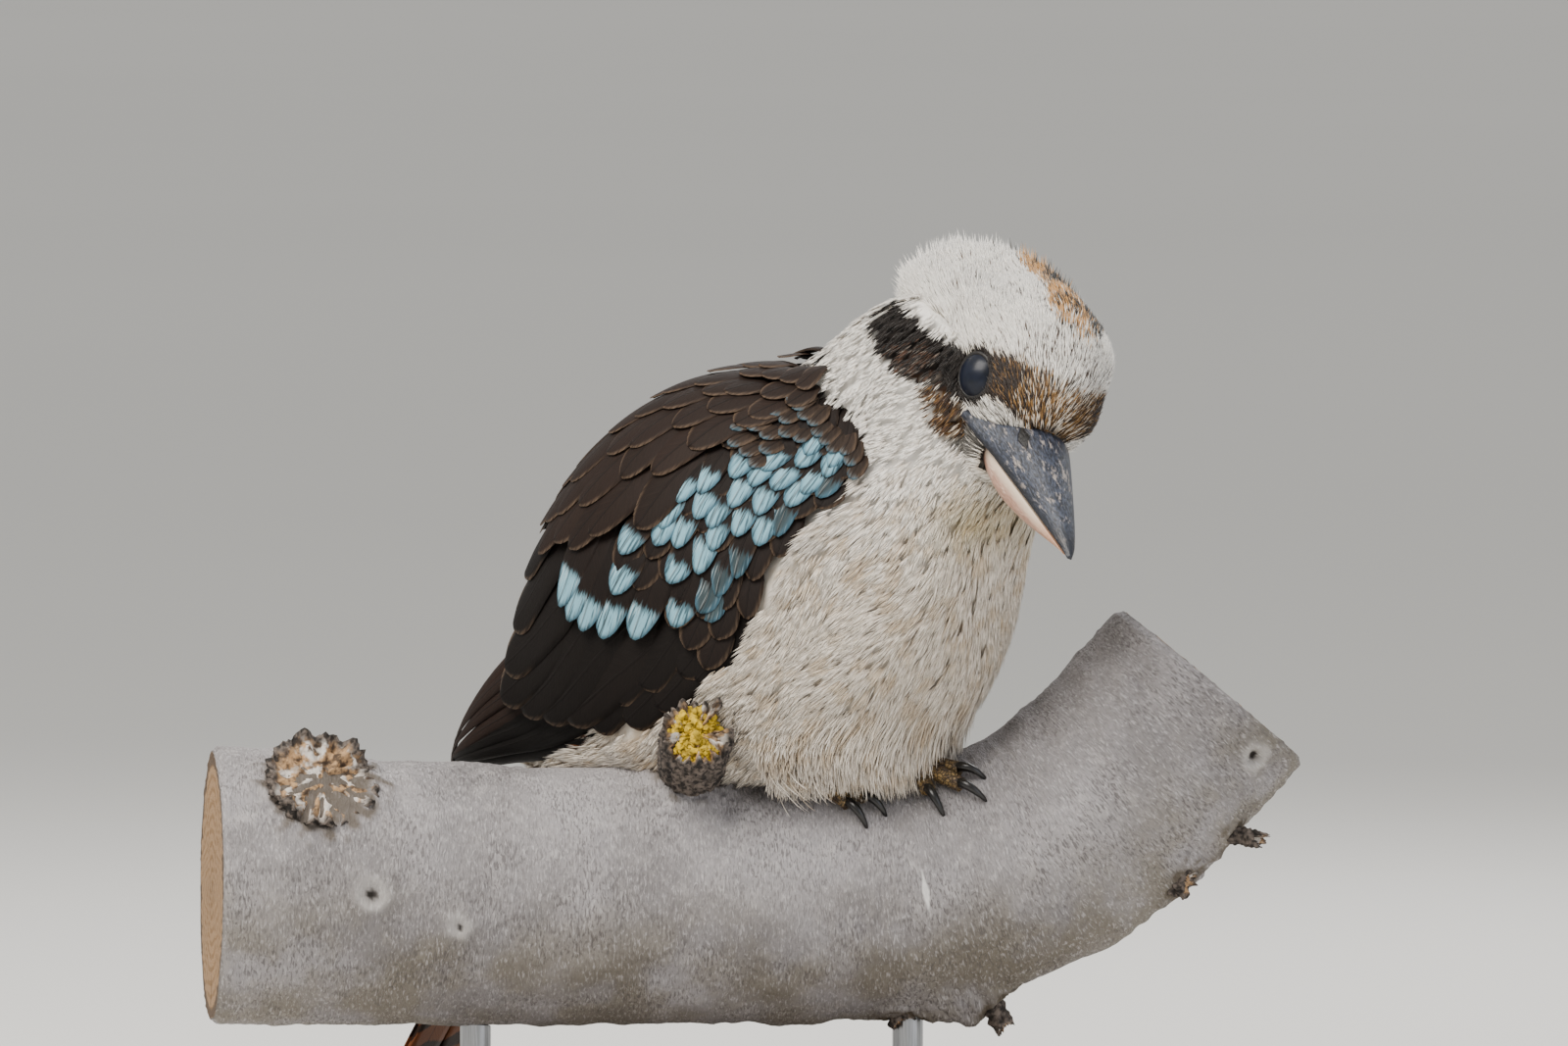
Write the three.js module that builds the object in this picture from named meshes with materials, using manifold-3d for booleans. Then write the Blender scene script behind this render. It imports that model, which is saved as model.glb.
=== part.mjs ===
// A laughing kookaburra, life size and at rest on a cut length of gum branch, above a plain display stand.
// Millimetres, +Z up. The origin is the centre of the stand's underside, and the bird is seen from -Y.
// The bird sits along the branch, facing +X and turned a little towards the viewer, with its head bowed and
// cocked so that the bill points down to the viewer's right.
import * as THREE from "three";
import { mergeVertices } from "three/addons/utils/BufferGeometryUtils.js";
import Module from "manifold-3d";

const wasm = await Module();
wasm.setup();
const { Vector3 } = THREE;
const radians = THREE.MathUtils.degToRad;
const { clamp, lerp } = THREE.MathUtils;

// Clearance between pieces that touch
const GAP = 0.35;

// The body's own frame: p forward along the ground, q up and w to the bird's right, from between the feet
const BODY_YAW = radians(25);
const FEET_X = 57;
const FEET_Y = -14;

// The trunk's swellings: centre p, q, w; half-sizes along, up and sideways; pitch of its length in degrees
const TRUNK_SWELLINGS = {
  body: { at: [-60, 193, 0], size: [80, 69.5, 54], pitch: 54 },
  breast: { at: [-9, 195, 0], size: [57, 40, 45], pitch: 64 },
  belly: { at: [-35, 170, 0], size: [50, 36, 47], pitch: 25 },
  rump: { at: [-104, 160, 0], size: [40, 31, 30], pitch: 38 },
  neck: { at: [5, 246, -6], size: [45, 39, 31], pitch: 45 },
  nape: { at: [-2, 258, -5], size: [32, 29, 27], pitch: 35 },
};
const TRUNK_BLEND = 8; // how far the swellings melt into one another
const SEAT = { height: 135, round: 10 }; // the belly is pressed flat where the bird sits
// Behind the rump the folded wings close over this last swelling, which is no part of the trunk
const WING_BED = { at: [-137, 158, 0], size: [58, 19, 26], pitch: 60 };

// The line that the trunk's rings are centred on, from inside the head to past the wings' tips: p, q, w
const SPINE = [
  [22, 272, -13],
  [8, 257, -6],
  [-9, 238, -2],
  [-28, 217, 0],
  [-49, 195, 0],
  [-72, 173, 0],
  [-96, 157, 0],
  [-123, 145, 0],
  [-151, 136, 0],
  [-178, 132, 0],
];
const TRUNK_TO = 0.83; // share of the spine that the trunk covers
const NECK_FROM = 0.2; // share of the spine where the neck is parted from the torso
const TRUNK_SIDES = 26;
const TRUNK_RINGS = 21;

// The head's own frame, from midway between the eyes: f along the bill, u to the crown, r to the bird's right
const HEAD_AT = new Vector3(94.5, -36, 262.7);
const HEAD_F = new Vector3(0.238, -0.867, -0.438).normalize();
const HEAD_R = new Vector3().crossVectors(HEAD_F, new Vector3(0.476, -0.289, 0.831)).normalize();
const HEAD_U = new Vector3().crossVectors(HEAD_R, HEAD_F);
// Its swellings, in f, u, r; those off the midline are mirrored
const HEAD_SWELLINGS = {
  cranium: { at: [-15, 7.5, 0], size: [41, 25.5, 22.5] },
  rear: { at: [-50, 4.5, 0], size: [33, 23, 35] },
  forehead: { at: [7, 4.5, 0], size: [20, 13.8, 14] },
  ear_coverts: { at: [-29, -10, 14], size: [29, 16, 19] },
  face: { at: [5, -9, 0], size: [18, 10, 15] },
  throat: { at: [-4, -18, 0], size: [26, 9, 13] },
  brow: { at: [-11.5, 16.5, 15.5], size: [18, 8.5, 7.7] },
  round_the_eye: { at: [3, 2.5, 12.5], size: [15, 10.5, 8.2] },
  corner_of_the_bill: { at: [8, -18, 8], size: [13, 6, 6.5] },
};
const HEAD_BLEND = 3;
const HEAD_HEART = [-18, -1, 0];
const HEAD_SIDES = 28;
const HEAD_RINGS = 21;

// Eyes and their lids
const EYE_RADIUS = 9;
const EYE_AT = [0, 1, 16.2];
const LID_RADIUS = 7.3;
const LID_THICK = 1.2;

// The bill, in the head's frame: f, then u of its ridge or keel and of its cutting edge, and half-width there
const UPPER_BILL = [
  [3, -6.5, -12.4, 20.2],
  [10, -3.5, -12.7, 18.6],
  [18, -0.6, -13.1, 16.0],
  [26, 1.0, -13.4, 13.4],
  [36, -0.3, -13.5, 11.2],
  [48, -3.2, -13.6, 8.7],
  [60, -6.3, -13.8, 6.3],
  [71, -9.6, -14.0, 4.0],
  [78, -12.1, -14.4, 2.3],
  [82, -14.2, -15.4, 0.8],
];
const LOWER_BILL = [
  [4, -24.4, -13.9, 15.0],
  [20, -25.6, -14.1, 13.4],
  [32, -25.2, -14.3, 11.4],
  [44, -23.4, -14.4, 9.2],
  [56, -20.9, -14.5, 6.9],
  [67, -18.3, -14.8, 4.5],
  [74, -16.7, -15.2, 2.6],
  [78, -16.1, -15.8, 1.0],
];
const BILL_SIDES = 14;
const UPPER_BILL_RINGS = 13;
const LOWER_BILL_RINGS = 10;
const NOSTRIL = { at: [32, -2.6, 7.9], size: [3.2, 1.5, 1.8] };

// The folded wing is laid out by s, the share of the spine, and v, from the back's midline to its lower edge.
// Its edges, as angles round the spine from straight up: s, upper edge, lower edge in degrees
const WING_EDGES = [
  [0.12, 0.8, 60],
  [0.16, 0.8, 82],
  [0.2, 0.8, 98],
  [0.25, 0.8, 100],
  [0.3, 0.8, 97],
  [0.36, 0.8, 101],
  [0.43, 0.8, 106],
  [0.52, 0.8, 103],
  [0.61, 0.8, 100],
  [0.7, 0.8, 100],
  [0.79, 1, 96],
  [0.88, 2, 88],
  [0.97, 5, 69],
  [1.0, 8, 60],
];
const WING_FRONT = 0.19; // share of the spine where the wings begin
const WING_DEPTH = 4.8; // how far the trunk is sunk under them
const WING_PAD = { to: 0.76, front: 2.8, back: 1.4, bottom: -4, along: 8, across: 5 };
const VANE_THICK = 0.6;
const VANE_ROOT = -1.2; // height of every root, sunk in the pad
const VANE_STEP = 0.92; // every second vane of a row lies this much higher, clear of its neighbours

// Rows of wing feathers, from the first root to the last: s and v of the roots, how many, their turn towards
// the lower edge in degrees, length, width, and how high over the bed their tips lie
const WING_ROWS = {
  primaries: {
    s: [0.56, 0.69], v: [0.9, 0.36], count: 5, turn: [1, 2],
    length: [102, 82], width: [13, 12], lift: 1.2,
  },
  secondaries: {
    s: [0.38, 0.55], v: [0.92, 0.42], count: 6, turn: [2, 4],
    length: [82, 70], width: [15, 15], lift: 2.6,
  },
  tertials: {
    s: [0.56, 0.56], v: [0.36, 0.12], count: 3, turn: [3, 0],
    length: [60, 46], width: [19, 18], lift: 4.2,
  },
  greater_coverts: {
    s: [0.3, 0.54], v: [0.86, 0.43], count: 6, turn: [24, 28],
    length: [38, 34], width: [17, 17], lift: 3.8,
  },
  median_coverts: {
    s: [0.25, 0.46], v: [0.8, 0.43], count: 5, turn: [24, 16],
    length: [28, 32], width: [17, 17], lift: 5.0,
  },
  lesser_coverts: {
    s: [0.2, 0.37], v: [0.76, 0.47], count: 4, turn: [24, 14],
    length: [24, 28], width: [17, 18], lift: 5.8,
  },
  scapulars: {
    s: [0.46, 0.5], v: [0.36, 0.12], count: 3, turn: [8, 2],
    length: [38, 34], width: [20, 19], lift: 5.0,
  },
  mantle: {
    s: [0.3, 0.4], v: [0.5, 0.12], count: 4, turn: [8, 2],
    length: [38, 34], width: [21, 19], lift: 5.8,
  },
};

// The tail, hanging past the back of the branch
const TAIL_ROOT = [-117, 152, 0];
const TAIL_WAY = new Vector3(-0.42, 0.36, -0.83).normalize(); // down, and back past the branch
const TAIL_ACROSS = new Vector3(-0.5, -0.858, -0.119).normalize(); // to the bird's right
const TAIL_UP = new Vector3().crossVectors(TAIL_WAY, TAIL_ACROSS); // out of the tail's upper side
const TAIL_LENGTH = 150;
const TAIL_FEATHERS = 12;
const TAIL_VANE = 22; // width of one feather
const TAIL_SPREAD = radians(0.45); // between neighbours
const TAIL_STEP = 1.2; // sideways between neighbours
const TAIL_LAYER = 1.05; // between one feather and the next below it
const TAIL_SHORTER = 0.35; // how much less each pair's length is, times the square of its place
const TAIL_COVERTS = { from: -6, to: 50, wide: 16, thick: 8 };

// The branch: x, y, z of its heart and its radius
const BRANCH = [
  [-169, -21, 103.4, 44.5],
  [-127, -16, 102.7, 43.3],
  [-80, -10, 100.1, 42.3],
  [-16, -5, 99.7, 41.7],
  [32, -1, 100.1, 41.2],
  [64, 0, 103.2, 40.4],
  [96, 1, 113.7, 39.6],
  [121, 3, 131.7, 39.2],
  [142, 5, 153.7, 39],
  [154, 6, 167.9, 39],
];
const BRANCH_SIDES = 22;
const BRANCH_RINGS = 15;
// Dead stubs on it: x of the foot, and degrees from the branch's top towards the viewer of the foot and of the
// stub's own way; radii at foot and end, length, lean along x
const STUBS = [
  { x: -13, foot: 40, way: 6, radii: [13, 10.5], length: 31, lean: 0.0 },
  { x: -139, foot: 33, way: 40, radii: [18, 14], length: 7, lean: 0.35 },
  { x: 74, foot: 172, way: 178, radii: [7, 4], length: 8, lean: 0.8 },
];
const STUB_SINK = 9;

// Feet: where each stands on the branch, as x and degrees from its top towards the viewer, and how far it is
// turned from the branch's run towards the viewer
const FEET = {
  right: { x: 21, angle: 20, side: 1, turn: 37 },
  left: { x: 63, angle: 17, side: -1, turn: 45 },
};
const TOES = {
  inner: { turn: -26, length: 19 },
  middle: { turn: -1, length: 27 },
  outer: { turn: 13, length: 24 },
  hind: { turn: 176, length: 16 },
};
const TOE_RADIUS = 3.1;
const CLAW = { length: 13.5, radius: 1.9, from: radians(-25), to: radians(62), rise: 0.8 };
const SHANK = { lean: -7, length: 20, radii: [4, 3.4, 4.4] };

// The stand
const BASE = { x: 230, y: 150, z: 16, edge: 2 };
const ROD_RADIUS = 5;
const ROD_X = { left: -84, right: 56 };

// Finishes
const FINISH = {
  white: { color: 0xe4dfd6, roughness: 0.9 },
  brown: { color: 0x3a2b24, roughness: 0.75 },
  rufous: { color: 0x8a5230, roughness: 0.75 },
  slate: { color: 0x3b3f4a, roughness: 0.45 },
  horn: { color: 0xc9a58c, roughness: 0.5 },
  eye: { color: 0x2b2f3a, roughness: 0.12 },
  toe: { color: 0x7a6144, roughness: 0.6 },
  bark: { color: 0x8d8987, roughness: 0.9 },
  plinth: { color: 0x4a3a2e, roughness: 0.5 },
  steel: { color: 0x9a9da1, roughness: 0.35, metalness: 1 },
};

// Solids

// A closed geometry as a solid with its faces outwards
function solidOf(geometry) {
  const bare = geometry.clone();
  bare.deleteAttribute("normal");
  bare.deleteAttribute("uv");
  const merged = mergeVertices(bare, 1e-4);
  const vertProperties = new Float32Array(merged.attributes.position.array);
  const triVerts = new Uint32Array(merged.index.array);
  const make = () => new wasm.Manifold(new wasm.Mesh({ numProp: 3, vertProperties, triVerts }));
  const solid = make();
  if (solid.volume() > 0) return solid;
  for (let i = 0; i < triVerts.length; i += 3) [triVerts[i], triVerts[i + 1]] = [triVerts[i + 1], triVerts[i]];
  return make();
}

// A solid's geometry, without the hair-thin faces that cuts leave: edges that are too short are closed up,
// and a face that is too flat is turned to share its neighbour's other corner
const SHORTEST_EDGE = 0.03;
const FLATTEST_FACE = 0.006;
const TOUCHING = 0.002;
const DRAWN_IN = 0.02;
function geometryOf(solid) {
  const { numVert, numProp, vertProperties, triVerts } = solid.getMesh();
  const vertex = (v) => new Vector3().fromArray(vertProperties, v * numProp);
  const points = Array.from({ length: numVert }, (_, v) => vertex(v));
  const around = points.map(() => new Set());
  const put = (face) => face.forEach((v) => around[v].add(face));
  const drop = (face) => face.forEach((v) => around[v].delete(face));
  const ringOf = (v) => new Set([...around[v]].flat().filter((other) => other !== v));
  const allFaces = () => [...new Set(around.flatMap((faces) => [...faces]))];
  for (let i = 0; i < triVerts.length; i += 3) put([...triVerts.subarray(i, i + 3)]);

  function closeUp(a, b) {
    const [ringA, ringB] = [ringOf(a), ringOf(b)];
    if ([...ringA].filter((v) => ringB.has(v)).length !== 2) return;
    for (const face of [...around[b]]) {
      drop(face);
      if (!face.includes(a)) put(face.map((v) => (v === b ? a : v)));
    }
  }

  function turn(face, a, b, c) {
    const other = [...around[a]].find((each) => each !== face && each.includes(b));
    const d = other.find((v) => v !== a && v !== b);
    if (ringOf(c).has(d)) return;
    [face, other].forEach(drop);
    [[a, d, c], [d, b, c]].forEach(put);
  }

  for (const face of [0, 1, 2].flatMap(allFaces)) {
    for (let k = 0; k < 3; k++) {
      const [a, b] = [face[k], face[(k + 1) % 3]];
      if (around[a].has(face) && points[a].distanceTo(points[b]) < SHORTEST_EDGE) closeUp(a, b);
    }
  }
  for (const face of allFaces()) {
    if (!around[face[0]].has(face)) continue;
    const spans = face.map((v, k) => points[v].distanceTo(points[face[(k + 1) % 3]]));
    const k = spans.indexOf(Math.max(...spans));
    const [a, b, c] = [face[k], face[(k + 1) % 3], face[(k + 2) % 3]];
    const area = new THREE.Triangle(points[a], points[b], points[c]).getArea();
    if ((2 * area) / spans[k] < FLATTEST_FACE) turn(face, a, b, c);
  }

  // Corners that only touch are drawn in a little, each into its own side
  const taken = new Set();
  points.forEach((point, v) => {
    const cell = point.toArray().map((x) => Math.round(x / TOUCHING)).join();
    if (around[v].size > 0 && taken.has(cell)) {
      const normals = [...around[v]].map((face) => {
        const [a, b, c] = face.map((each) => points[each]);
        return new THREE.Triangle(a, b, c).getNormal(new Vector3());
      });
      const out = normals.reduce((sum, normal) => sum.add(normal)).normalize();
      point.addScaledVector(out, -DRAWN_IN);
    }
    taken.add(cell);
  });

  const geometry = new THREE.BufferGeometry().setFromPoints(points);
  geometry.setIndex(allFaces().flat());
  geometry.computeVertexNormals();
  return geometry;
}

// The one closed body that matters, without any scrap that a cut leaves
function largest(solid) {
  return solid.decompose().reduce((a, b) => (b.volume() > a.volume() ? b : a));
}

const fuse = (solids) => solids.reduce((all, next) => all.add(next));

// A ball whose vertices are moved: place(share from pole to pole, angle round) gives each its point
function wrappedBall(sides, rings, place) {
  const geometry = new THREE.SphereGeometry(1, sides, rings);
  const at = geometry.attributes.position;
  for (let ring = 0; ring <= rings; ring++)
    for (let side = 0; side <= sides; side++) {
      const pole = ring === 0 || ring === rings;
      const point = place(ring / rings, pole ? 0 : (2 * Math.PI * (side % sides)) / sides, pole);
      at.setXYZ(ring * (sides + 1) + side, point.x, point.y, point.z);
    }
  return solidOf(geometry);
}

// A thin plate of nx by ny cells. place(x, y) gives the middle of its thickness and the way out of its face,
// with x from root to tip and y from edge to edge. Both faces are split alike.
function plate(nx, ny, thick, place) {
  const row = ny + 1;
  const layer = (nx + 1) * row;
  const places = new Float32Array(layer * 6);
  for (let i = 0; i <= nx; i++)
    for (let j = 0; j <= ny; j++) {
      const { at, out } = place(i / nx, (2 * j) / ny - 1);
      const half = out.clone().multiplyScalar(thick / 2);
      places.set(at.clone().add(half).toArray(), (i * row + j) * 3);
      places.set(at.clone().sub(half).toArray(), (layer + i * row + j) * 3);
    }
  const faces = [];
  for (let i = 0; i < nx; i++)
    for (let j = 0; j < ny; j++) {
      const [a, b, c, d] = [i * row + j, i * row + j + 1, (i + 1) * row + j, (i + 1) * row + j + 1];
      faces.push(a, b, c, b, d, c);
      faces.push(a + layer, c + layer, b + layer, b + layer, c + layer, d + layer);
    }
  const rim = [];
  for (let i = 0; i < nx; i++) rim.push(i * row);
  for (let j = 0; j < ny; j++) rim.push(nx * row + j);
  for (let i = nx; i > 0; i--) rim.push(i * row + ny);
  for (let j = ny; j > 0; j--) rim.push(j);
  rim.forEach((a, k) => {
    const b = rim[(k + 1) % rim.length];
    faces.push(a, b, b + layer, a, b + layer, a + layer);
  });
  const geometry = new THREE.BufferGeometry();
  geometry.setAttribute("position", new THREE.BufferAttribute(places, 3));
  geometry.setIndex(faces);
  return solidOf(geometry);
}

// Values of a table's columns at a share of the way along its rows, on smooth curves through them
function alongTable(rows, share) {
  const place = clamp(share, 0, 1) * (rows.length - 1);
  const row = Math.min(Math.floor(place), rows.length - 2);
  const t = place - row;
  const at = (i) => rows[clamp(i, 0, rows.length - 1)];
  return rows[0].map((_, c) => {
    const [a, b, d, e] = [at(row - 1)[c], at(row)[c], at(row + 1)[c], at(row + 2)[c]];
    const [leave, reach] = [(d - a) / 2, (e - b) / 2];
    return (
      b * (2 * t ** 3 - 3 * t ** 2 + 1) + leave * (t ** 3 - 2 * t ** 2 + t) +
      d * (3 * t ** 2 - 2 * t ** 3) + reach * (t ** 3 - t ** 2)
    );
  });
}

// Values of a table's other columns where its first column has the value asked for, on straight lines
function lookUp(rows, key) {
  let row = 0;
  while (row < rows.length - 2 && rows[row + 1][0] < key) row++;
  const share = clamp((key - rows[row][0]) / (rows[row + 1][0] - rows[row][0]), 0, 1);
  return rows[row].slice(1).map((value, c) => lerp(value, rows[row + 1][c + 1], share));
}

// Smooth forms made of swellings

// About how far a point lies outside the swellings, all melted together
function meltedDistance(swellings, blend, [a, b, c]) {
  let sum = 0;
  for (const { at, size, pitch = 0 } of swellings) {
    const [cos, sin] = [Math.cos(radians(pitch)), Math.sin(radians(pitch))];
    const [x, y] = [a - at[0], b - at[1]];
    const near = [(x * cos + y * sin) / size[0], (y * cos - x * sin) / size[1], (c - at[2]) / size[2]];
    const reach = Math.hypot(...near);
    const slope = Math.hypot(near[0] / size[0], near[1] / size[1], near[2] / size[2]) || 1e-9;
    sum += Math.exp((reach * (1 - reach)) / slope / blend);
  }
  return -blend * Math.log(sum);
}

// The larger of two distances, with the crease between them rounded
function roundedLarger(a, b, round) {
  const share = clamp(0.5 + (0.5 * (a - b)) / round, 0, 1);
  return lerp(b, a, share) + round * share * (1 - share);
}

const trunkSwellings = Object.values(TRUNK_SWELLINGS);
function trunkDistance(point, swellings = trunkSwellings) {
  const free = meltedDistance(swellings, TRUNK_BLEND, point);
  return roundedLarger(free, SEAT.height - point[1], SEAT.round);
}
const bedSwellings = [...trunkSwellings, WING_BED];
const bedDistance = (point) => trunkDistance(point, bedSwellings);

const headSwellings = Object.values(HEAD_SWELLINGS).flatMap((swelling) =>
  swelling.at[2] === 0 ? [swelling] : [1, -1].map((side) => ({
    ...swelling,
    at: [swelling.at[0], swelling.at[1], side * swelling.at[2]],
  })),
);
const headDistance = (point) => meltedDistance(headSwellings, HEAD_BLEND, point);

// How far out from a point the form's outermost surface is
const FARTHEST = 140;
const CAST_STEP = 4;
function castOut(distance, from, way) {
  const at = (far) => from.map((x, k) => x + way[k] * far);
  let far = FARTHEST;
  while (far > 0 && distance(at(far)) > 0) far -= CAST_STEP;
  if (far <= 0) return 0.3;
  let [near, beyond] = [far, far + CAST_STEP];
  for (let i = 0; i < 16; i++) {
    const middle = (near + beyond) / 2;
    if (distance(at(middle)) < 0) near = middle;
    else beyond = middle;
  }
  return near;
}

// Body

function bodyPoint([p, q, w]) {
  const [c, s] = [Math.cos(BODY_YAW), Math.sin(BODY_YAW)];
  return new Vector3(FEET_X + c * p - s * w, FEET_Y - s * p - c * w, q);
}

function bodyWay([p, q, w]) {
  return bodyPoint([p, q, w]).sub(bodyPoint([0, 0, 0]));
}

// A place on the spine, with the ways up from it and to the bird's right
function spineFrame(share) {
  const at = new Vector3(...alongTable(SPINE, share));
  const step = 1e-3;
  const along = new Vector3(...alongTable(SPINE, Math.min(share + step, 1)));
  along.sub(new Vector3(...alongTable(SPINE, Math.max(share - step, 0)))).normalize();
  const side = new Vector3(0, 0, 1);
  side.addScaledVector(along, -side.dot(along)).normalize();
  const up = new Vector3().crossVectors(side, along);
  if (up.y < 0) up.negate();
  return { at, along, up, side };
}

// The point where a ray from the spine, turned by an angle from straight up, leaves the form
function ringPoint(distance, share, angle, grown = 0) {
  const { at, up, side } = spineFrame(share);
  const way = up.clone().multiplyScalar(Math.cos(angle)).addScaledVector(side, Math.sin(angle));
  const reach = castOut(distance, at.toArray(), way.toArray()) + grown;
  return at.addScaledVector(way, reach).toArray();
}

// How far the trunk is sunk to take the wings, at a share of the spine and an angle from straight up
function sunkForWings(share, angle) {
  const [upper, lower] = lookUp(WING_EDGES, share);
  const turned = Math.abs(THREE.MathUtils.euclideanModulo(angle + Math.PI, 2 * Math.PI) - Math.PI);
  const v = (turned - radians(upper)) / radians(lower - upper);
  const behindFront = THREE.MathUtils.smoothstep(share, WING_FRONT - 0.03, WING_FRONT + 0.02);
  return WING_DEPTH * behindFront * (1 - THREE.MathUtils.smoothstep(v, 0.9, 1.06));
}

function trunk(grown = 0) {
  return wrappedBall(TRUNK_SIDES, TRUNK_RINGS, (share, angle, pole) => {
    const inner = clamp((share * TRUNK_RINGS - 1) / (TRUNK_RINGS - 2), 0, 1);
    const spot = TRUNK_TO * inner;
    if (!pole) return bodyPoint(ringPoint(trunkDistance, spot, angle, grown - sunkForWings(spot, angle)));
    const { at, along } = spineFrame(spot);
    return bodyPoint(at.addScaledVector(along, (share ? 1 : -1) * (1 + grown)).toArray());
  });
}

// A slab square to the spine, from one distance along it to another
function spineSlab(share, from, to) {
  const { at, along, up, side } = spineFrame(share);
  const slab = new THREE.BoxGeometry(to - from, 400, 400);
  slab.translate((from + to) / 2, 0, 0);
  const [x, y, z] = [along, up, side].map((way) => bodyWay(way.toArray()));
  slab.applyMatrix4(new THREE.Matrix4().makeBasis(x, y, z));
  slab.translate(...bodyPoint(at.toArray()).toArray());
  return solidOf(slab);
}

// Head

function headPoint([f, u, r]) {
  return HEAD_AT.clone().addScaledVector(HEAD_F, f).addScaledVector(HEAD_U, u).addScaledVector(HEAD_R, r);
}

function head(grown = 0) {
  return wrappedBall(HEAD_SIDES, HEAD_RINGS, (share, angle) => {
    const polar = Math.PI * share;
    const way = [Math.cos(polar), Math.sin(polar) * Math.cos(angle), Math.sin(polar) * Math.sin(angle)];
    const reach = castOut(headDistance, HEAD_HEART, way) + grown;
    return headPoint(HEAD_HEART.map((c, k) => c + way[k] * reach));
  });
}

function eye(side, grown = 0) {
  const ball = new THREE.SphereGeometry(EYE_RADIUS + grown, 14, 9);
  const at = headPoint([EYE_AT[0], EYE_AT[1], side * EYE_AT[2]]);
  return solidOf(ball.translate(at.x, at.y, at.z));
}

// The lids, as one ring that stands a little proud of the face
function lids(side, grown = 0) {
  const ring = new THREE.TorusGeometry(LID_RADIUS, LID_THICK + grown, 6, 18);
  const out = side * (EYE_AT[2] + Math.sqrt(EYE_RADIUS ** 2 - LID_RADIUS ** 2));
  ring.translate(EYE_AT[0], EYE_AT[1], out);
  ring.applyMatrix4(new THREE.Matrix4().makeBasis(HEAD_F, HEAD_U, HEAD_R));
  return solidOf(ring.translate(HEAD_AT.x, HEAD_AT.y, HEAD_AT.z));
}

// One half of the bill: rounded over its ridge or keel, and flat along its cutting edge
function billHalf(table, rings) {
  return wrappedBall(BILL_SIDES, rings, (share, angle, pole) => {
    const [f, ridge, edge, half] = alongTable(table, share);
    const high = ridge - edge;
    if (pole) return headPoint([f, edge + high * 0.4, 0]);
    return headPoint([f, edge + high * Math.max(0, Math.cos(angle)), half * Math.sin(angle)]);
  });
}

function nostril(side) {
  const ball = new THREE.SphereGeometry(1, 10, 8);
  ball.scale(...NOSTRIL.size);
  ball.translate(NOSTRIL.at[0], NOSTRIL.at[1], side * NOSTRIL.at[2]);
  ball.applyMatrix4(new THREE.Matrix4().makeBasis(HEAD_F, HEAD_U, HEAD_R));
  return solidOf(ball.translate(HEAD_AT.x, HEAD_AT.y, HEAD_AT.z));
}

// Wings

// A point of the folded wing, a height over its bed in the trunk, and the way out of the body there
function wingPlace(side, s, v, lift) {
  const [upper, lower] = lookUp(WING_EDGES, s);
  const on = ringPoint(bedDistance, s, radians(lerp(upper, lower, v)));
  const step = 0.5;
  const slope = on.map((_, k) => bedDistance(on.map((x, n) => x + (n === k ? step : 0))));
  const here = bedDistance(on);
  const out = new Vector3(...slope.map((x) => x - here)).normalize();
  const at = new Vector3(...on).addScaledVector(out, lift - WING_DEPTH);
  return {
    at: bodyPoint([at.x, at.y, side * at.z]),
    out: bodyWay([out.x, out.y, side * out.z]),
  };
}

// How wide a vane is at a share of its length, as a share of its half-width
function vaneWidth(x, roundFrom) {
  const root = 0.5 + 0.5 * Math.min(1, x / 0.4);
  const tip = x < roundFrom ? 1 : Math.sqrt(Math.max(0.08, 1 - ((x - roundFrom) / (1.03 - roundFrom)) ** 2));
  return root * tip;
}

function wingVane(side, { s, v, turn, length, width, lift }) {
  const root = wingPlace(1, s, v, 0).at;
  const perS = wingPlace(1, s + 0.01, v, 0).at.distanceTo(root) / 0.01;
  const perV = wingPlace(1, s, v + 0.02, 0).at.distanceTo(root) / 0.02;
  const [cos, sin] = [Math.cos(turn), Math.sin(turn)];
  return plate(length > 60 ? 4 : 3, 1, VANE_THICK, (x, y) => {
    const eased = 1 - (1 - x) ** 1.3;
    const across = (y * width * vaneWidth(eased, 0.7)) / 2;
    const along = eased * length;
    const spot = [s + (along * cos - across * sin) / perS, v + (along * sin + across * cos) / perV];
    return wingPlace(side, spot[0], clamp(spot[1], 0, 1.02), lerp(lift, VANE_ROOT, (1 - eased) ** 3));
  });
}

function rowOfVanes(side, { s, v, count, turn, length, width, lift }) {
  return Array.from({ length: count }, (_, i) => {
    const part = ([a, b]) => lerp(a, b, i / (count - 1));
    return wingVane(side, {
      s: part(s),
      v: part(v),
      turn: radians(part(turn)),
      length: part(length),
      width: part(width),
      lift: lift + (i % 2) * VANE_STEP,
    });
  });
}

// The wing's body under its feathers: a pad that runs down into the trunk, where it is cut to fit
function wingPad(side) {
  const { to, front, back, bottom, along, across } = WING_PAD;
  return plate(along, across, 1, (x, y) => {
    const edge = Math.min(1, 7 * x, 7 * (1 - x), 3 * (1 - y));
    const v = lerp(0, 0.97, (y + 1) / 2);
    const top = lerp(front, back, x);
    const [high, low] = [lerp(0.8, top, edge), lerp(-0.8, bottom, edge)];
    const { at, out } = wingPlace(side, lerp(WING_FRONT, to, x), v, (high + low) / 2);
    return { at, out: out.multiplyScalar(high - low) };
  });
}

// The space on one side of the back's midline, clear of it by half a gap
function besideMidline(side) {
  const [long, deep] = [600, 300];
  const half = new THREE.BoxGeometry(long, long, deep);
  half.translate(0, 0, side * (deep + GAP) / 2);
  const axes = [[1, 0, 0], [0, 1, 0], [0, 0, 1]].map(bodyWay);
  half.applyMatrix4(new THREE.Matrix4().makeBasis(...axes));
  const at = bodyPoint([0, 0, 0]);
  return solidOf(half.translate(at.x, at.y, at.z));
}

function wing(side) {
  const vanes = Object.values(WING_ROWS).flatMap((row) => rowOfVanes(side, row));
  return fuse([wingPad(side), ...vanes]).intersect(besideMidline(side));
}

// Tail

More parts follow.
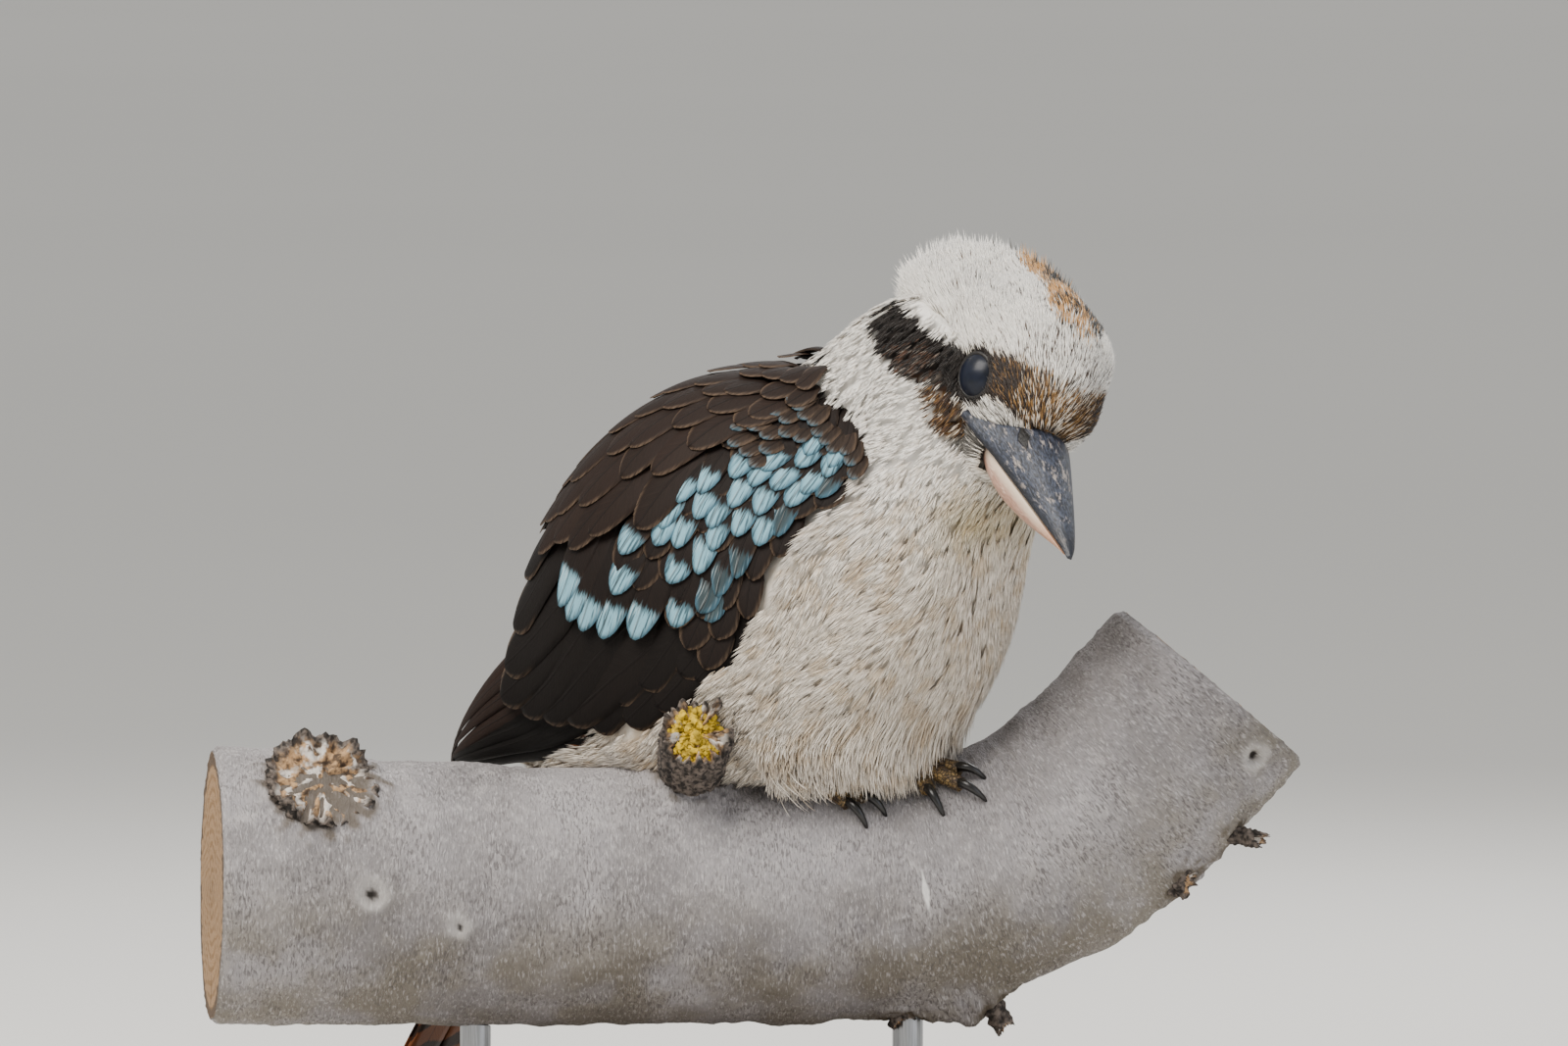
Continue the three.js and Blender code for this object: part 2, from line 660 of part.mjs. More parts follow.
// A point of the tail: along it from its root, across to the bird's right, and up out of its upper side
function tailPlace(along, across, high) {
  const at = bodyPoint(TAIL_ROOT).addScaledVector(TAIL_WAY, along);
  return { at: at.addScaledVector(TAIL_ACROSS, across).addScaledVector(TAIL_UP, high), out: TAIL_UP.clone() };
}

// The feathers lie like tiles: the middle pair is on top, and the others reach out from the midline to each side
function tailFeather(index) {
  const off = index - (TAIL_FEATHERS - 1) / 2;
  const rank = Math.floor(Math.abs(off));
  const middle = rank === 0;
  const side = Math.sign(off);
  const length = TAIL_LENGTH - TAIL_SHORTER * rank ** 2;
  const turn = off * TAIL_SPREAD;
  const layer = middle ? (side > 0 ? 0 : -1) : -1 - rank;
  return plate(4, 1, VANE_THICK, (x, y) => {
    const half = (TAIL_VANE / 2) * vaneWidth(x, 0.88);
    const across = off * TAIL_STEP + x * length * Math.sin(turn) + y * half;
    const kept = middle ? across : side * Math.max(GAP / 2, side * across);
    return tailPlace(x * length, kept, layer * TAIL_LAYER);
  });
}

// The coverts over and under the tail's root, as one smooth form that the feathers grow from
function tailCoverts() {
  const { from, to, wide, thick } = TAIL_COVERTS;
  return wrappedBall(16, 12, (share, angle) => {
    const fat = Math.sin(Math.PI * Math.min(1, share * 0.85 + 0.15)) ** 0.7;
    const middle = -0.5 * TAIL_LAYER * (TAIL_FEATHERS / 2);
    const spot = [lerp(from, to, share), wide * fat * Math.sin(angle), middle + thick * fat * Math.cos(angle)];
    return tailPlace(...spot).at;
  });
}

// Branch

function branchFrame(share) {
  const [x, y, z, radius] = alongTable(BRANCH, share);
  const before = alongTable(BRANCH, share - 0.01);
  const after = alongTable(BRANCH, share + 0.01);
  const along = new Vector3(...after.slice(0, 3)).sub(new Vector3(...before.slice(0, 3))).normalize();
  const front = new Vector3(0, -1, 0).addScaledVector(along, along.y).normalize();
  const up = new Vector3().crossVectors(along, front).negate();
  if (up.z < 0) up.negate();
  return { at: new Vector3(x, y, z), along, front, up, radius };
}

// The share of the branch's run that has a given x
function branchShare(x) {
  let [low, high] = [0, 1];
  for (let i = 0; i < 40; i++) {
    const middle = (low + high) / 2;
    if (alongTable(BRANCH, middle)[0] < x) low = middle;
    else high = middle;
  }
  return (low + high) / 2;
}

// A point on or over the branch's skin: the angle runs from its top towards the viewer
function branchPoint(share, angle, over = 0) {
  const { at, front, up, radius } = branchFrame(share);
  const out = up.multiplyScalar(Math.cos(angle)).addScaledVector(front, Math.sin(angle));
  return at.addScaledVector(out, radius + over);
}

function branch(grown = 0) {
  const limb = wrappedBall(BRANCH_SIDES, BRANCH_RINGS, (share, angle, pole) => {
    const inner = clamp((share * BRANCH_RINGS - 1) / (BRANCH_RINGS - 2), 0, 1);
    const { at, along } = branchFrame(inner);
    const end = inner === 0 ? -grown : inner === 1 ? grown : 0;
    return (pole ? at : branchPoint(inner, angle, grown)).addScaledVector(along, end);
  });
  return fuse([limb, ...STUBS.map((stub) => deadStub(stub, grown))]);
}

function deadStub({ x, foot, way, radii, length, lean }, grown) {
  const share = branchShare(x);
  const { front, up, along } = branchFrame(share);
  const aim = up.multiplyScalar(Math.cos(radians(way))).addScaledVector(front, Math.sin(radians(way)));
  aim.addScaledVector(along, lean).normalize();
  const whole = length + STUB_SINK + grown;
  const stub = new THREE.CylinderGeometry(radii[1] + grown, radii[0] + grown, whole, 10);
  stub.translate(0, whole / 2, 0);
  stub.applyQuaternion(new THREE.Quaternion().setFromUnitVectors(new Vector3(0, 1, 0), aim));
  const at = branchPoint(share, radians(foot)).addScaledVector(aim, -STUB_SINK);
  return solidOf(stub.translate(at.x, at.y, at.z));
}

// Feet

// A tube through points with a radius at each, closed by a point at either end
function taperedTube(points, radii, sides = 6) {
  const curve = new THREE.CatmullRomCurve3(points, false, "centripetal");
  const rings = points.length + 1;
  const side = new Vector3();
  return wrappedBall(sides, rings, (share, angle, pole) => {
    const inner = clamp((share * rings - 1) / (rings - 2), 0, 1);
    const at = curve.getPoint(inner);
    const along = curve.getTangent(inner);
    const place = inner * (radii.length - 1);
    const low = Math.min(Math.floor(place), radii.length - 2);
    const radius = lerp(radii[low], radii[low + 1], place - low);
    if (pole) return at.addScaledVector(along, (share ? 1 : -1) * radius * 0.6);
    side.set(0, 0, 1).addScaledVector(along, -along.z).normalize();
    const other = new Vector3().crossVectors(along, side);
    return at.addScaledVector(side, Math.cos(angle) * radius).addScaledVector(other, Math.sin(angle) * radius);
  });
}

// A toe lies along the branch and ends in a claw that arches over and down
function toe({ x, angle, side, turn: footTurn }, { turn, length }, grown) {
  const { radius } = branchFrame(branchShare(x));
  const heading = radians(footTurn + side * turn);
  const spot = (far, over) =>
    branchPoint(
      branchShare(x + far * Math.cos(heading)),
      radians(angle) + (far * Math.sin(heading)) / radius,
      over,
    );
  const joints = [0, 0.3, 0.62, 1].map((share) => spot(share * length, TOE_RADIUS * lerp(1.15, 0.95, share)));
  const fat = [1.1, 1, 0.96, 0.8].map((share) => share * TOE_RADIUS + grown);
  const arc = CLAW.length / (CLAW.to - CLAW.from);
  const claw = [-0.15, 0.2, 0.5, 0.8, 1].map((share) => {
    const bend = lerp(CLAW.from, CLAW.to, share);
    const far = length + arc * (Math.sin(bend) - Math.sin(CLAW.from));
    return spot(far, TOE_RADIUS + CLAW.rise + arc * (Math.cos(bend) - Math.cos(CLAW.from)));
  });
  const sharp = [1, 1, 0.8, 0.5, 0.2].map((share) => share * CLAW.radius + grown);
  return fuse([taperedTube(joints, fat), taperedTube(claw, sharp, 5)]);
}

function leg(foot, grown = 0) {
  const ankle = branchPoint(branchShare(foot.x), radians(foot.angle), TOE_RADIUS * 1.15);
  const knee = ankle.clone().add(bodyWay([SHANK.lean, SHANK.length, 0]));
  const shank = taperedTube([ankle, ankle.clone().lerp(knee, 0.5), knee], SHANK.radii.map((x) => x + grown));
  return fuse([shank, ...Object.values(TOES).map((each) => toe(foot, each, grown))]);
}

// Stand

function base() {
  const { x, y, z, edge } = BASE;
  const outline = new THREE.Shape();
  outline.moveTo(edge - x / 2, edge - y / 2);
  outline.lineTo(x / 2 - edge, edge - y / 2);
  outline.lineTo(x / 2 - edge, y / 2 - edge);
  outline.lineTo(edge - x / 2, y / 2 - edge);
  const slab = new THREE.ExtrudeGeometry(outline, {
    depth: z - 2 * edge,
    bevelSegments: 1,
    bevelSize: edge,
    bevelThickness: edge,
  });
  return solidOf(slab.translate(0, 0, edge));
}

function rod(x) {
  const { at } = branchFrame(branchShare(x));
  const length = at.z - BASE.z - GAP;
  const bar = new THREE.CylinderGeometry(ROD_RADIUS, ROD_RADIUS, length, 20);
  bar.rotateX(Math.PI / 2);
  return solidOf(bar.translate(x, at.y, BASE.z + GAP + length / 2));
}

// Everything, put together
const model = new THREE.Group();

function add(name, solid, finish) {
  const mesh = new THREE.Mesh(geometryOf(largest(solid)), new THREE.MeshStandardMaterial(FINISH[finish]));
  mesh.name = name;
  model.add(mesh);
}

const trunkWhole = trunk();
const trunkGrown = trunk(GAP);
const headWhole = head();
const headGrown = fuse([head(GAP), ...[1, -1].flatMap((side) => [lids(side, GAP), eye(side, GAP)])]);
const branchGrown = branch(GAP);
const sides = { right: 1, left: -1 };
const legs = fuse(Object.values(FEET).map((foot) => leg(foot, GAP)));

const upperBill = billHalf(UPPER_BILL, UPPER_BILL_RINGS);
const lowerBill = billHalf(LOWER_BILL, LOWER_BILL_RINGS);
const bills = fuse([upperBill, lowerBill]);
const torsoSide = spineSlab(NECK_FROM, GAP / 2, 400);
const neckSide = spineSlab(NECK_FROM, -200, -GAP / 2);

const torso = trunkWhole.intersect(torsoSide);
add("torso", torso.subtract(branchGrown).subtract(legs).subtract(headGrown), "white");
add("neck", trunkWhole.intersect(neckSide).subtract(headGrown).subtract(bills), "white");
const skull = fuse([headWhole, lids(1), lids(-1)]);
add("head", skull.subtract(eye(1, GAP)).subtract(eye(-1, GAP)), "white");
for (const [word, side] of Object.entries(sides)) add(`eye_${word}`, eye(side), "eye");
add("bill_upper", upperBill.subtract(nostril(1)).subtract(nostril(-1)).subtract(headGrown), "slate");
add("bill_lower", lowerBill.subtract(headGrown), "horn");
const tail = fuse([tailCoverts(), ...Array.from({ length: TAIL_FEATHERS }, (_, i) => tailFeather(i))]);
for (const [word, side] of Object.entries(sides))
  add(`wing_${word}`, wing(side).subtract(trunkGrown).subtract(branchGrown).subtract(headGrown), "brown");
add("tail", tail.subtract(trunkGrown).subtract(branchGrown), "rufous");
for (const [word, foot] of Object.entries(FEET)) add(`leg_${word}`, leg(foot).subtract(branchGrown), "toe");
add("perch", branch(), "bark");
add("stand_base", base(), "plinth");
for (const [word, x] of Object.entries(ROD_X)) add(`stand_rod_${word}`, rod(x).subtract(branchGrown), "steel");

export default model;
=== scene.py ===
"""A laughing kookaburra, life size, on a cut length of gum branch above a plain display stand.

Lengths are millimetres until a mesh is made, and +Z is up. The forms are those of the solids, with a fuller
nape: swellings melted into one another for the trunk and head, and a branch with a round section along a table
of places. Feathers are grown on those forms, each from its root on the skin and along the lie of the coat.
"""

import math

import bmesh
import bpy
import numpy as np
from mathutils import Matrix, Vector


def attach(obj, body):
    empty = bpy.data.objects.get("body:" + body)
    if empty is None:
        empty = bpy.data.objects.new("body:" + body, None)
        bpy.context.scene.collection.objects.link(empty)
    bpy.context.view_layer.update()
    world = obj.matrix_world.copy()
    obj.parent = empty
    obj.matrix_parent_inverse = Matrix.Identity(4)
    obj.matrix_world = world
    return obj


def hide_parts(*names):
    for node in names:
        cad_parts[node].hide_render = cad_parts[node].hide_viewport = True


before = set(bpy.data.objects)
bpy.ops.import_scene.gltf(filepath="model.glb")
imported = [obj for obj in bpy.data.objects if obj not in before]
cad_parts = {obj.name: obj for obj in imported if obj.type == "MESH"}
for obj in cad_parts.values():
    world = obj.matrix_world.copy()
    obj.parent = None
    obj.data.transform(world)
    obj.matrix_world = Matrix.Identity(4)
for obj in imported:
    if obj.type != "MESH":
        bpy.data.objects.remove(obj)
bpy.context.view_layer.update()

MM = 0.001  # metres in a millimetre
BODY = "root"  # the one body that everything rides on
draw = np.random.default_rng(41)


# Arithmetic

def unit(ways):
    """Ways made one long."""
    return ways / np.maximum(np.linalg.norm(ways, axis=-1, keepdims=True), 1e-9)


def mix(a, b, share):
    return a + (b - a) * share


def ease(value, low, high):
    """0 below low, 1 above high and a smooth rise between them."""
    share = np.clip((value - low) / (high - low), 0, 1)
    return share * share * (3 - 2 * share)


def srgb(code):
    """An sRGB hex colour as linear red, green and blue."""
    values = np.array([int(code[i:i + 2], 16) for i in (1, 3, 5)]) / 255
    return np.where(values <= 0.04045, values / 12.92, ((values + 0.055) / 1.055) ** 2.4)


def column(values):
    """A number for each row, ready to multiply rows of three."""
    return np.asarray(values, float)[..., None]


def ripple(points, size, seed, waves=24):
    """A smooth random field, mostly between -1 and 1, whose lumps are about size across."""
    dice = np.random.default_rng(seed)
    ways = unit(dice.normal(size=(waves, 3))) * dice.uniform(0.6, 1.4, (waves, 1)) * 2 * math.pi / size
    return np.sin(points @ ways.T + dice.uniform(0, 2 * math.pi, waves)).sum(-1) * math.sqrt(2 / waves)


def along_table(rows, share):
    """Columns of a table at shares of the way down its rows, on smooth curves through them."""
    rows = np.asarray(rows, float)
    place = np.clip(np.atleast_1d(share), 0, 1) * (len(rows) - 1)
    row = np.minimum(place.astype(int), len(rows) - 2)
    t = column(place - row)
    a, b, c, d = (rows[np.clip(row + k, 0, len(rows) - 1)] for k in (-1, 0, 1, 2))
    leave, reach = (c - a) / 2, (d - b) / 2
    return (b * (2 * t**3 - 3 * t**2 + 1) + leave * (t**3 - 2 * t**2 + t)
            + c * (3 * t**2 - 2 * t**3) + reach * (t**3 - t**2))


# The photograph's view, as the camera has it

PHOTO = (1600, 1067)
PX_PER_MM = 3.15
STAND_PX = 750  # the column of pixels over the stand's middle
FLOOR_PX = 1227  # the row of pixels, below the picture, where the floor would be
CAMERA_RISE = math.radians(3)
CAMERA_AWAY = 6000
TARGET = np.array([(PHOTO[0] / 2 - STAND_PX) / PX_PER_MM, 0, (FLOOR_PX - PHOTO[1] / 2) / PX_PER_MM])
TO_CAMERA = np.array([0, -math.cos(CAMERA_RISE), math.sin(CAMERA_RISE)])


def inside(places, outline, soft):
    """How far places are inside an outline: 1 well in, 0 well out, with a soft edge."""
    outline = np.asarray(outline, float)
    x, y = places[..., 0], places[..., 1]
    crossings = np.zeros(x.shape, int)
    nearest = np.full(x.shape, 1e9)
    for (ax, ay), (bx, by) in zip(outline, np.roll(outline, -1, 0)):
        level = (ay > y) != (by > y)
        crossings += level & (x < (bx - ax) * (y - ay) / (by - ay + 1e-9) + ax)
        t = np.clip(((x - ax) * (bx - ax) + (y - ay) * (by - ay)) / ((bx - ax) ** 2 + (by - ay) ** 2), 0, 1)
        nearest = np.minimum(nearest, np.hypot(x - ax - t * (bx - ax), y - ay - t * (by - ay)))
    return ease(np.where(crossings % 2, nearest, -nearest), -soft, soft)


# The bird's own frames

BODY_YAW = math.radians(25)
FEET = np.array([57, -14, 0])
HEAD_AT = np.array([94.5, -36, 262.7])
HEAD_F = unit(np.array([0.238, -0.867, -0.438]))
HEAD_R = unit(np.cross(HEAD_F, [0.476, -0.289, 0.831]))
HEAD_AXES = np.array([HEAD_F, np.cross(HEAD_R, HEAD_F), HEAD_R])
FORWARD = np.array([math.cos(BODY_YAW), -math.sin(BODY_YAW), 0])
BODY_AXES = np.array([FORWARD, [0, 0, 1], [FORWARD[1], -FORWARD[0], 0]])


def from_body(pqw):
    """Places in the body's frame, forward, up and to the bird's right, as places in the world."""
    return FEET + pqw @ BODY_AXES


def to_body(points):
    return (points - FEET) @ BODY_AXES.T


def from_head(fur):
    """Places in the head's frame, along the bill, to the crown and to the right, as places in the world."""
    return HEAD_AT + fur @ HEAD_AXES


def to_head(points):
    return (points - HEAD_AT) @ HEAD_AXES.T


# Forms made of swellings: centre, half-sizes and pitch of each, as in the solids but for the fuller nape

TRUNK_SWELLINGS = [
    ((-60, 193, 0), (80, 69.5, 54), 54),  # body
    ((-9, 195, 0), (57, 40, 45), 64),  # breast
    ((-35, 170, 0), (50, 36, 47), 25),  # belly
    ((-104, 160, 0), (40, 31, 30), 38),  # rump
    ((5, 246, -6), (45, 39, 31), 45),  # neck
    ((1.5, 263, -5.7), (36, 29.5, 22), 35),  # nape
]
WING_BED = ((-137, 158, 0), (58, 19, 26), 60)
TRUNK_BLEND = 8
SEAT_HEIGHT, SEAT_ROUND = 135, 10
HEAD_SWELLINGS = [
    ((-15, 7.5, 0), (41, 25.5, 22.5), 0),  # cranium
    ((-50, 4.5, 0), (33, 23, 35), 0),  # rear
    ((7, 4.5, 0), (20, 13.8, 14), 0),  # forehead
    ((-29, -10, 14), (29, 16, 19), 0),  # ear coverts
    ((5, -9, 0), (18, 10, 15), 0),  # face
    ((-4, -18, 0), (26, 9, 13), 0),  # throat
    ((-11.5, 16.5, 15.5), (18, 8.5, 7.7), 0),  # brow
    ((3, 2.5, 12.5), (15, 10.5, 8.2), 0),  # round the eye
    ((8, -18, 8), (13, 6, 6.5), 0),  # corner of the bill
]
HEAD_BLEND = 3
HEAD_HEART = np.array([-18, -1, 0])
SPINE = [
    (22, 272, -13), (8, 257, -6), (-9, 238, -2), (-28, 217, 0), (-49, 195, 0),
    (-72, 173, 0), (-96, 157, 0), (-123, 145, 0), (-151, 136, 0), (-178, 132, 0),
]
TRUNK_TO = 0.83  # share of the spine that the trunk covers


def melted(swellings, blend, points):
    """About how far points lie outside swellings that are melted into one another."""
    total = 0
    for at, size, pitch in swellings:
        c, s = math.cos(math.radians(pitch)), math.sin(math.radians(pitch))
        x, y, z = np.moveaxis(points - np.array(at), -1, 0)
        near = np.stack([(x * c + y * s) / size[0], (y * c - x * s) / size[1], z / size[2]], -1)
        reach = np.linalg.norm(near, axis=-1)
        slope = np.maximum(np.linalg.norm(near / np.array(size), axis=-1), 1e-9)
        total = total + np.exp(np.clip(reach * (1 - reach) / slope / blend, -60, 60))
    return -blend * np.log(total)


def trunk_distance(pqw, swellings=TRUNK_SWELLINGS):
    free = melted(swellings, TRUNK_BLEND, pqw)
    seat = SEAT_HEIGHT - pqw[..., 1]
    share = np.clip(0.5 + 0.5 * (free - seat) / SEAT_ROUND, 0, 1)
    return mix(seat, free, share) + SEAT_ROUND * share * (1 - share)


def bed_distance(pqw):
    return trunk_distance(pqw, [*TRUNK_SWELLINGS, WING_BED])


def head_distance(fur):
    left = [((at[0], at[1], -at[2]), size, pitch) for at, size, pitch in HEAD_SWELLINGS if at[2]]
    return melted([*HEAD_SWELLINGS, *left], HEAD_BLEND, fur)


def cast_out(distance, origins, ways, farthest=140, step=4):
    """How far from each origin, along its way, the form's outermost surface lies."""
    far = np.full(origins.shape[:-1], float(farthest))
    for _ in range(farthest // step):
        outside = distance(origins + ways * column(far)) > 0
        if not outside.any():
            break
        far -= step * outside
    near, beyond = far, far + step
    for _ in range(14):
        middle = (near + beyond) / 2
        within = distance(origins + ways * column(middle)) < 0
        near, beyond = np.where(within, middle, near), np.where(within, beyond, middle)
    return near


def spine_frame(share):
    at = along_table(SPINE, share)
    ahead = along_table(SPINE, np.minimum(share + 1e-3, 1))
    behind = along_table(SPINE, np.maximum(share - 1e-3, 0))
    along = unit(ahead - behind)
    side = unit(np.array([0, 0, 1]) - along * along[:, 2:])
    up = np.cross(side, along)
    return at, np.where(up[:, 1:2] < 0, -up, up), side


def spine_rings(distance, shares, angles):
    """World places of rings round the spine, each at its own angles from straight up."""
    at, up, side = spine_frame(shares)
    at, up, side = at[:, None], up[:, None], side[:, None]
    ways = up * np.cos(angles)[..., None] + side * np.sin(angles)[..., None]
    origins = np.broadcast_to(at, ways.shape)
    return from_body(origins + ways * column(cast_out(distance, origins, ways)))


class Surface:
    """A grid of places over a form. u runs down its rows and v round its columns, both from 0 to 1."""

    def __init__(self, points, wrap, heart):
        self.points, self.wrap = points, wrap
        down = np.gradient(points, axis=0)
        across = (np.roll(points, -1, 1) - np.roll(points, 1, 1)) / 2 if wrap else np.gradient(points, axis=1)
        out = unit(np.cross(down, across))
        inwards = np.sum(out * (points - heart), -1, keepdims=True) < 0
        self.out, self.down, self.across = np.where(inwards, -out, out), unit(down), unit(across)
        self.area = np.linalg.norm(np.cross(down, across), axis=-1)[:-1]
        if not wrap:
            self.area = self.area[:, :-1]

    def read(self, grid, u, v):
        """A value between the grid's lines."""
        rows, columns = grid.shape[:2]
        i = np.clip(u, 0, 1) * (rows - 1)
        j = (v % 1) * columns if self.wrap else np.clip(v, 0, 1) * (columns - 1)
        low, left = np.minimum(i.astype(int), rows - 2), np.floor(j).astype(int)
        left = left % columns if self.wrap else np.minimum(left, columns - 2)
        right = (left + 1) % columns
        s, t = column(i - low), column(j - np.floor(j) if self.wrap else j - left)
        above = mix(grid[low, left], grid[low, right], t)
        return mix(above, mix(grid[low + 1, left], grid[low + 1, right], t), s)

    def frame(self, u, v):
        """Place, way out, way down the form and way across it."""
        out = unit(self.read(self.out, u, v))
        down = self.read(self.down, u, v)
        down = unit(down - out * np.sum(out * down, -1, keepdims=True))
        return self.read(self.points, u, v), out, down, np.cross(out, down)

    def scatter(self, count):
        """Evenly spread random places."""
        heap = np.cumsum(self.area.ravel())
        cell = np.searchsorted(heap, (np.arange(count) + draw.random(count)) / count * heap[-1])
        i, j = np.divmod(np.minimum(cell, heap.size - 1), self.area.shape[1])
        rows, columns = self.points.shape[:2]
        u = (i + draw.random(count)) / (rows - 1)
        return u, (j + draw.random(count)) / (columns if self.wrap else columns - 1)


TURN = 2 * math.pi
TRUNK_RINGS, TRUNK_SIDES = 140, 160
HEAD_RINGS, HEAD_SIDES = 90, 120
trunk_shares = np.linspace(0, TRUNK_TO, TRUNK_RINGS)
trunk_angles = np.tile(np.arange(TRUNK_SIDES) / TRUNK_SIDES * TURN, (TRUNK_RINGS, 1))
trunk = Surface(
    spine_rings(trunk_distance, trunk_shares, trunk_angles),
    wrap=True, heart=from_body(along_table(SPINE, trunk_shares))[:, None],
)


def head_surface():
    polar = np.linspace(0.03, 0.97, HEAD_RINGS) * math.pi
    polar, angle = np.meshgrid(polar, np.arange(HEAD_SIDES) / HEAD_SIDES * TURN, indexing="ij")
    ways = np.stack([np.cos(polar), np.sin(polar) * np.cos(angle), np.sin(polar) * np.sin(angle)], -1)
    droop = math.radians(14)  # the bill's heart lies below the head's
    ways = ways @ [[math.cos(droop), -math.sin(droop), 0], [math.sin(droop), math.cos(droop), 0], [0, 0, 1]]
    hearts = np.broadcast_to(HEAD_HEART, ways.shape)
    reach = cast_out(head_distance, hearts, ways, farthest=100)
    return Surface(from_head(hearts + ways * column(reach)), wrap=True, heart=from_head(HEAD_HEART))


head = head_surface()


# Meshes

def mesh_of(name, points, faces, spread=None, attributes=()):
    """A mesh from places in millimetres and from arrays of faces, each array with one number of corners.

    spread gives each vertex its place on the map that colours are baked to, and attributes are
    (name, values for each vertex) pairs: three values are a vector and four a colour.
    """
    mesh = bpy.data.meshes.new(name)
    corners = np.concatenate([face.ravel() for face in faces]).astype(np.int32)
    sizes = np.concatenate([np.full(len(face), face.shape[1]) for face in faces])
    mesh.vertices.add(len(points))
    mesh.vertices.foreach_set("co", (np.asarray(points) * MM).astype(np.float32).ravel())
    mesh.loops.add(len(corners))
    mesh.loops.foreach_set("vertex_index", corners)
    mesh.polygons.add(len(sizes))
    starts = np.concatenate([[0], np.cumsum(sizes)[:-1]])
    mesh.polygons.foreach_set("loop_start", starts.astype(np.int32))
    mesh.update(calc_edges=True)
    mesh.polygons.foreach_set("use_smooth", np.full(len(sizes), True))
    if spread is not None:
        layer = mesh.uv_layers.new(name="OFBake")
        layer.uv.foreach_set("vector", np.asarray(spread, np.float32)[corners].ravel())
    for label, values in attributes:
        kind, key = {3: ("FLOAT_VECTOR", "vector"), 4: ("FLOAT_COLOR", "color")}[values.shape[1]]
        data = mesh.attributes.new(label, kind, "POINT").data
        data.foreach_set(key, values.astype(np.float32).ravel())
    return mesh


def piece(name, mesh, material, replaces=()):
    """An object that rides on the body and takes the place of the solids that it is made after."""
    obj = bpy.data.objects.new(name, mesh)
    bpy.context.scene.collection.objects.link(obj)
    mesh.materials.clear()
    mesh.materials.append(material)
    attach(obj, BODY)
    if replaces:
        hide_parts(*replaces)
    return obj


def grid_faces(rows, columns, wrap=False):
    """Four-cornered faces over a grid of points. wrap joins each row's last point to its first."""
    i, j = np.meshgrid(np.arange(rows - 1), np.arange(columns if wrap else columns - 1), indexing="ij")
    k = (j + 1) % columns
    here, below = i * columns, (i + 1) * columns
    return np.stack([here + j, below + j, below + k, here + k], -1).reshape(-1, 4)


def tube_mesh(name, tubes, attributes=()):
    """Closed tubes from (rings, sides, 3) grids of points, each with its ends drawn to their middles."""
    points, quads, ends, base = [], [], [], 0
    for rings in tubes:
        rows, sides = rings.shape[:2]
        points += [rings.reshape(-1, 3), rings[[0, -1]].mean(1)]
        quads.append(grid_faces(rows, sides, wrap=True) + base)
        turn = np.arange(sides)
        first = np.stack([turn, (turn + 1) % sides, np.full(sides, rows * sides)], -1)
        last = np.stack([(turn + 1) % sides, turn, np.full(sides, rows * sides + 1)], -1) + [
            (rows - 1) * sides, (rows - 1) * sides, 0]
        ends += [first + base, last + base]
        base += rows * sides + 2
    faces = [np.concatenate(quads), np.concatenate(ends)]
    return mesh_of(name, np.concatenate(points), faces, attributes=attributes)


def outwards(obj):
    """Turns every shell's faces outwards."""
    shape = bmesh.new()
    shape.from_mesh(obj.data)
    bmesh.ops.recalc_face_normals(shape, faces=shape.faces)
    shape.to_mesh(obj.data)
    shape.free()


def settled(obj, *modifiers):
    """Applies modifiers, each a type and its settings, and keeps only the mesh that they make."""
    for kind, settings in modifiers:
        modifier = obj.modifiers.new(kind.lower(), kind)
        for key, value in settings.items():
            setattr(modifier, key, value)
    shaped = bpy.data.meshes.new_from_object(obj.evaluated_get(bpy.context.evaluated_depsgraph_get()))
    obj.modifiers.clear()
    obj.data = shaped


# Materials

def look(name):
    """A new material, its tree and its one shader."""
    material = bpy.data.materials.new(name)
    material.use_nodes = True
    return material, material.node_tree, material.node_tree.nodes["Principled BSDF"]


def plug(tree, node, links):
    """Sets a node's sockets, each to a plain value or to another node's output."""
    for name, value in links.items():
        socket = node.inputs[name]
        if isinstance(value, bpy.types.NodeSocket):
            tree.links.new(value, socket)
        else:
            socket.default_value = value


def add(tree, kind, links=None, **settings):
    """A new node: settings are its own, and links are for its sockets."""
    node = tree.nodes.new(kind)
    for key, value in settings.items():
        setattr(node, key, value)
    plug(tree, node, links or {})
    return node


def paint(code):
    return (*srgb(code), 1)


def maths(tree, operation, a, b=0.0, c=0.0):
    return add(tree, "ShaderNodeMath", {0: a, 1: b, 2: c}, operation=operation).outputs[0]


def times(tree, a, b):
    return maths(tree, "MULTIPLY", a, b)


def times_plus(tree, a, b, c):
    return maths(tree, "MULTIPLY_ADD", a, b, c)


def away_from(tree, value, middle):
    """How far a value is from a middle one, either way."""
    return maths(tree, "ABSOLUTE", maths(tree, "SUBTRACT", value, middle))


def blended(tree, share, a, b, kind="MIX"):
    """Two colours mixed by a share."""
    return add(tree, "ShaderNodeMix", {0: share, 6: a, 7: b}, data_type="RGBA", blend_type=kind).outputs[2]


def between(tree, value, low, high):
    """0 where a value is below low, 1 above high, and a smooth rise between them."""
    links = {"Value": value, "From Min": low, "From Max": high}
    return add(tree, "ShaderNodeMapRange", links, interpolation_type="SMOOTHSTEP").outputs[0]


def parts_of(tree, vector):
    return add(tree, "ShaderNodeSeparateXYZ", {"Vector": vector}).outputs


def joined(tree, x, y, z):
    return add(tree, "ShaderNodeCombineXYZ", {0: x, 1: y, 2: z}).outputs[0]


def stretched(tree, place, scale):
    return add(tree, "ShaderNodeMapping", {"Vector": place, "Scale": scale}).outputs[0]


def lumps(tree, place, detail, **more):
    """Lumpy noise about one unit of its places across."""
    links = {"Vector": place, "Scale": 1.0, "Detail": detail, **more}
    return add(tree, "ShaderNodeTexNoise", links).outputs["Fac"]


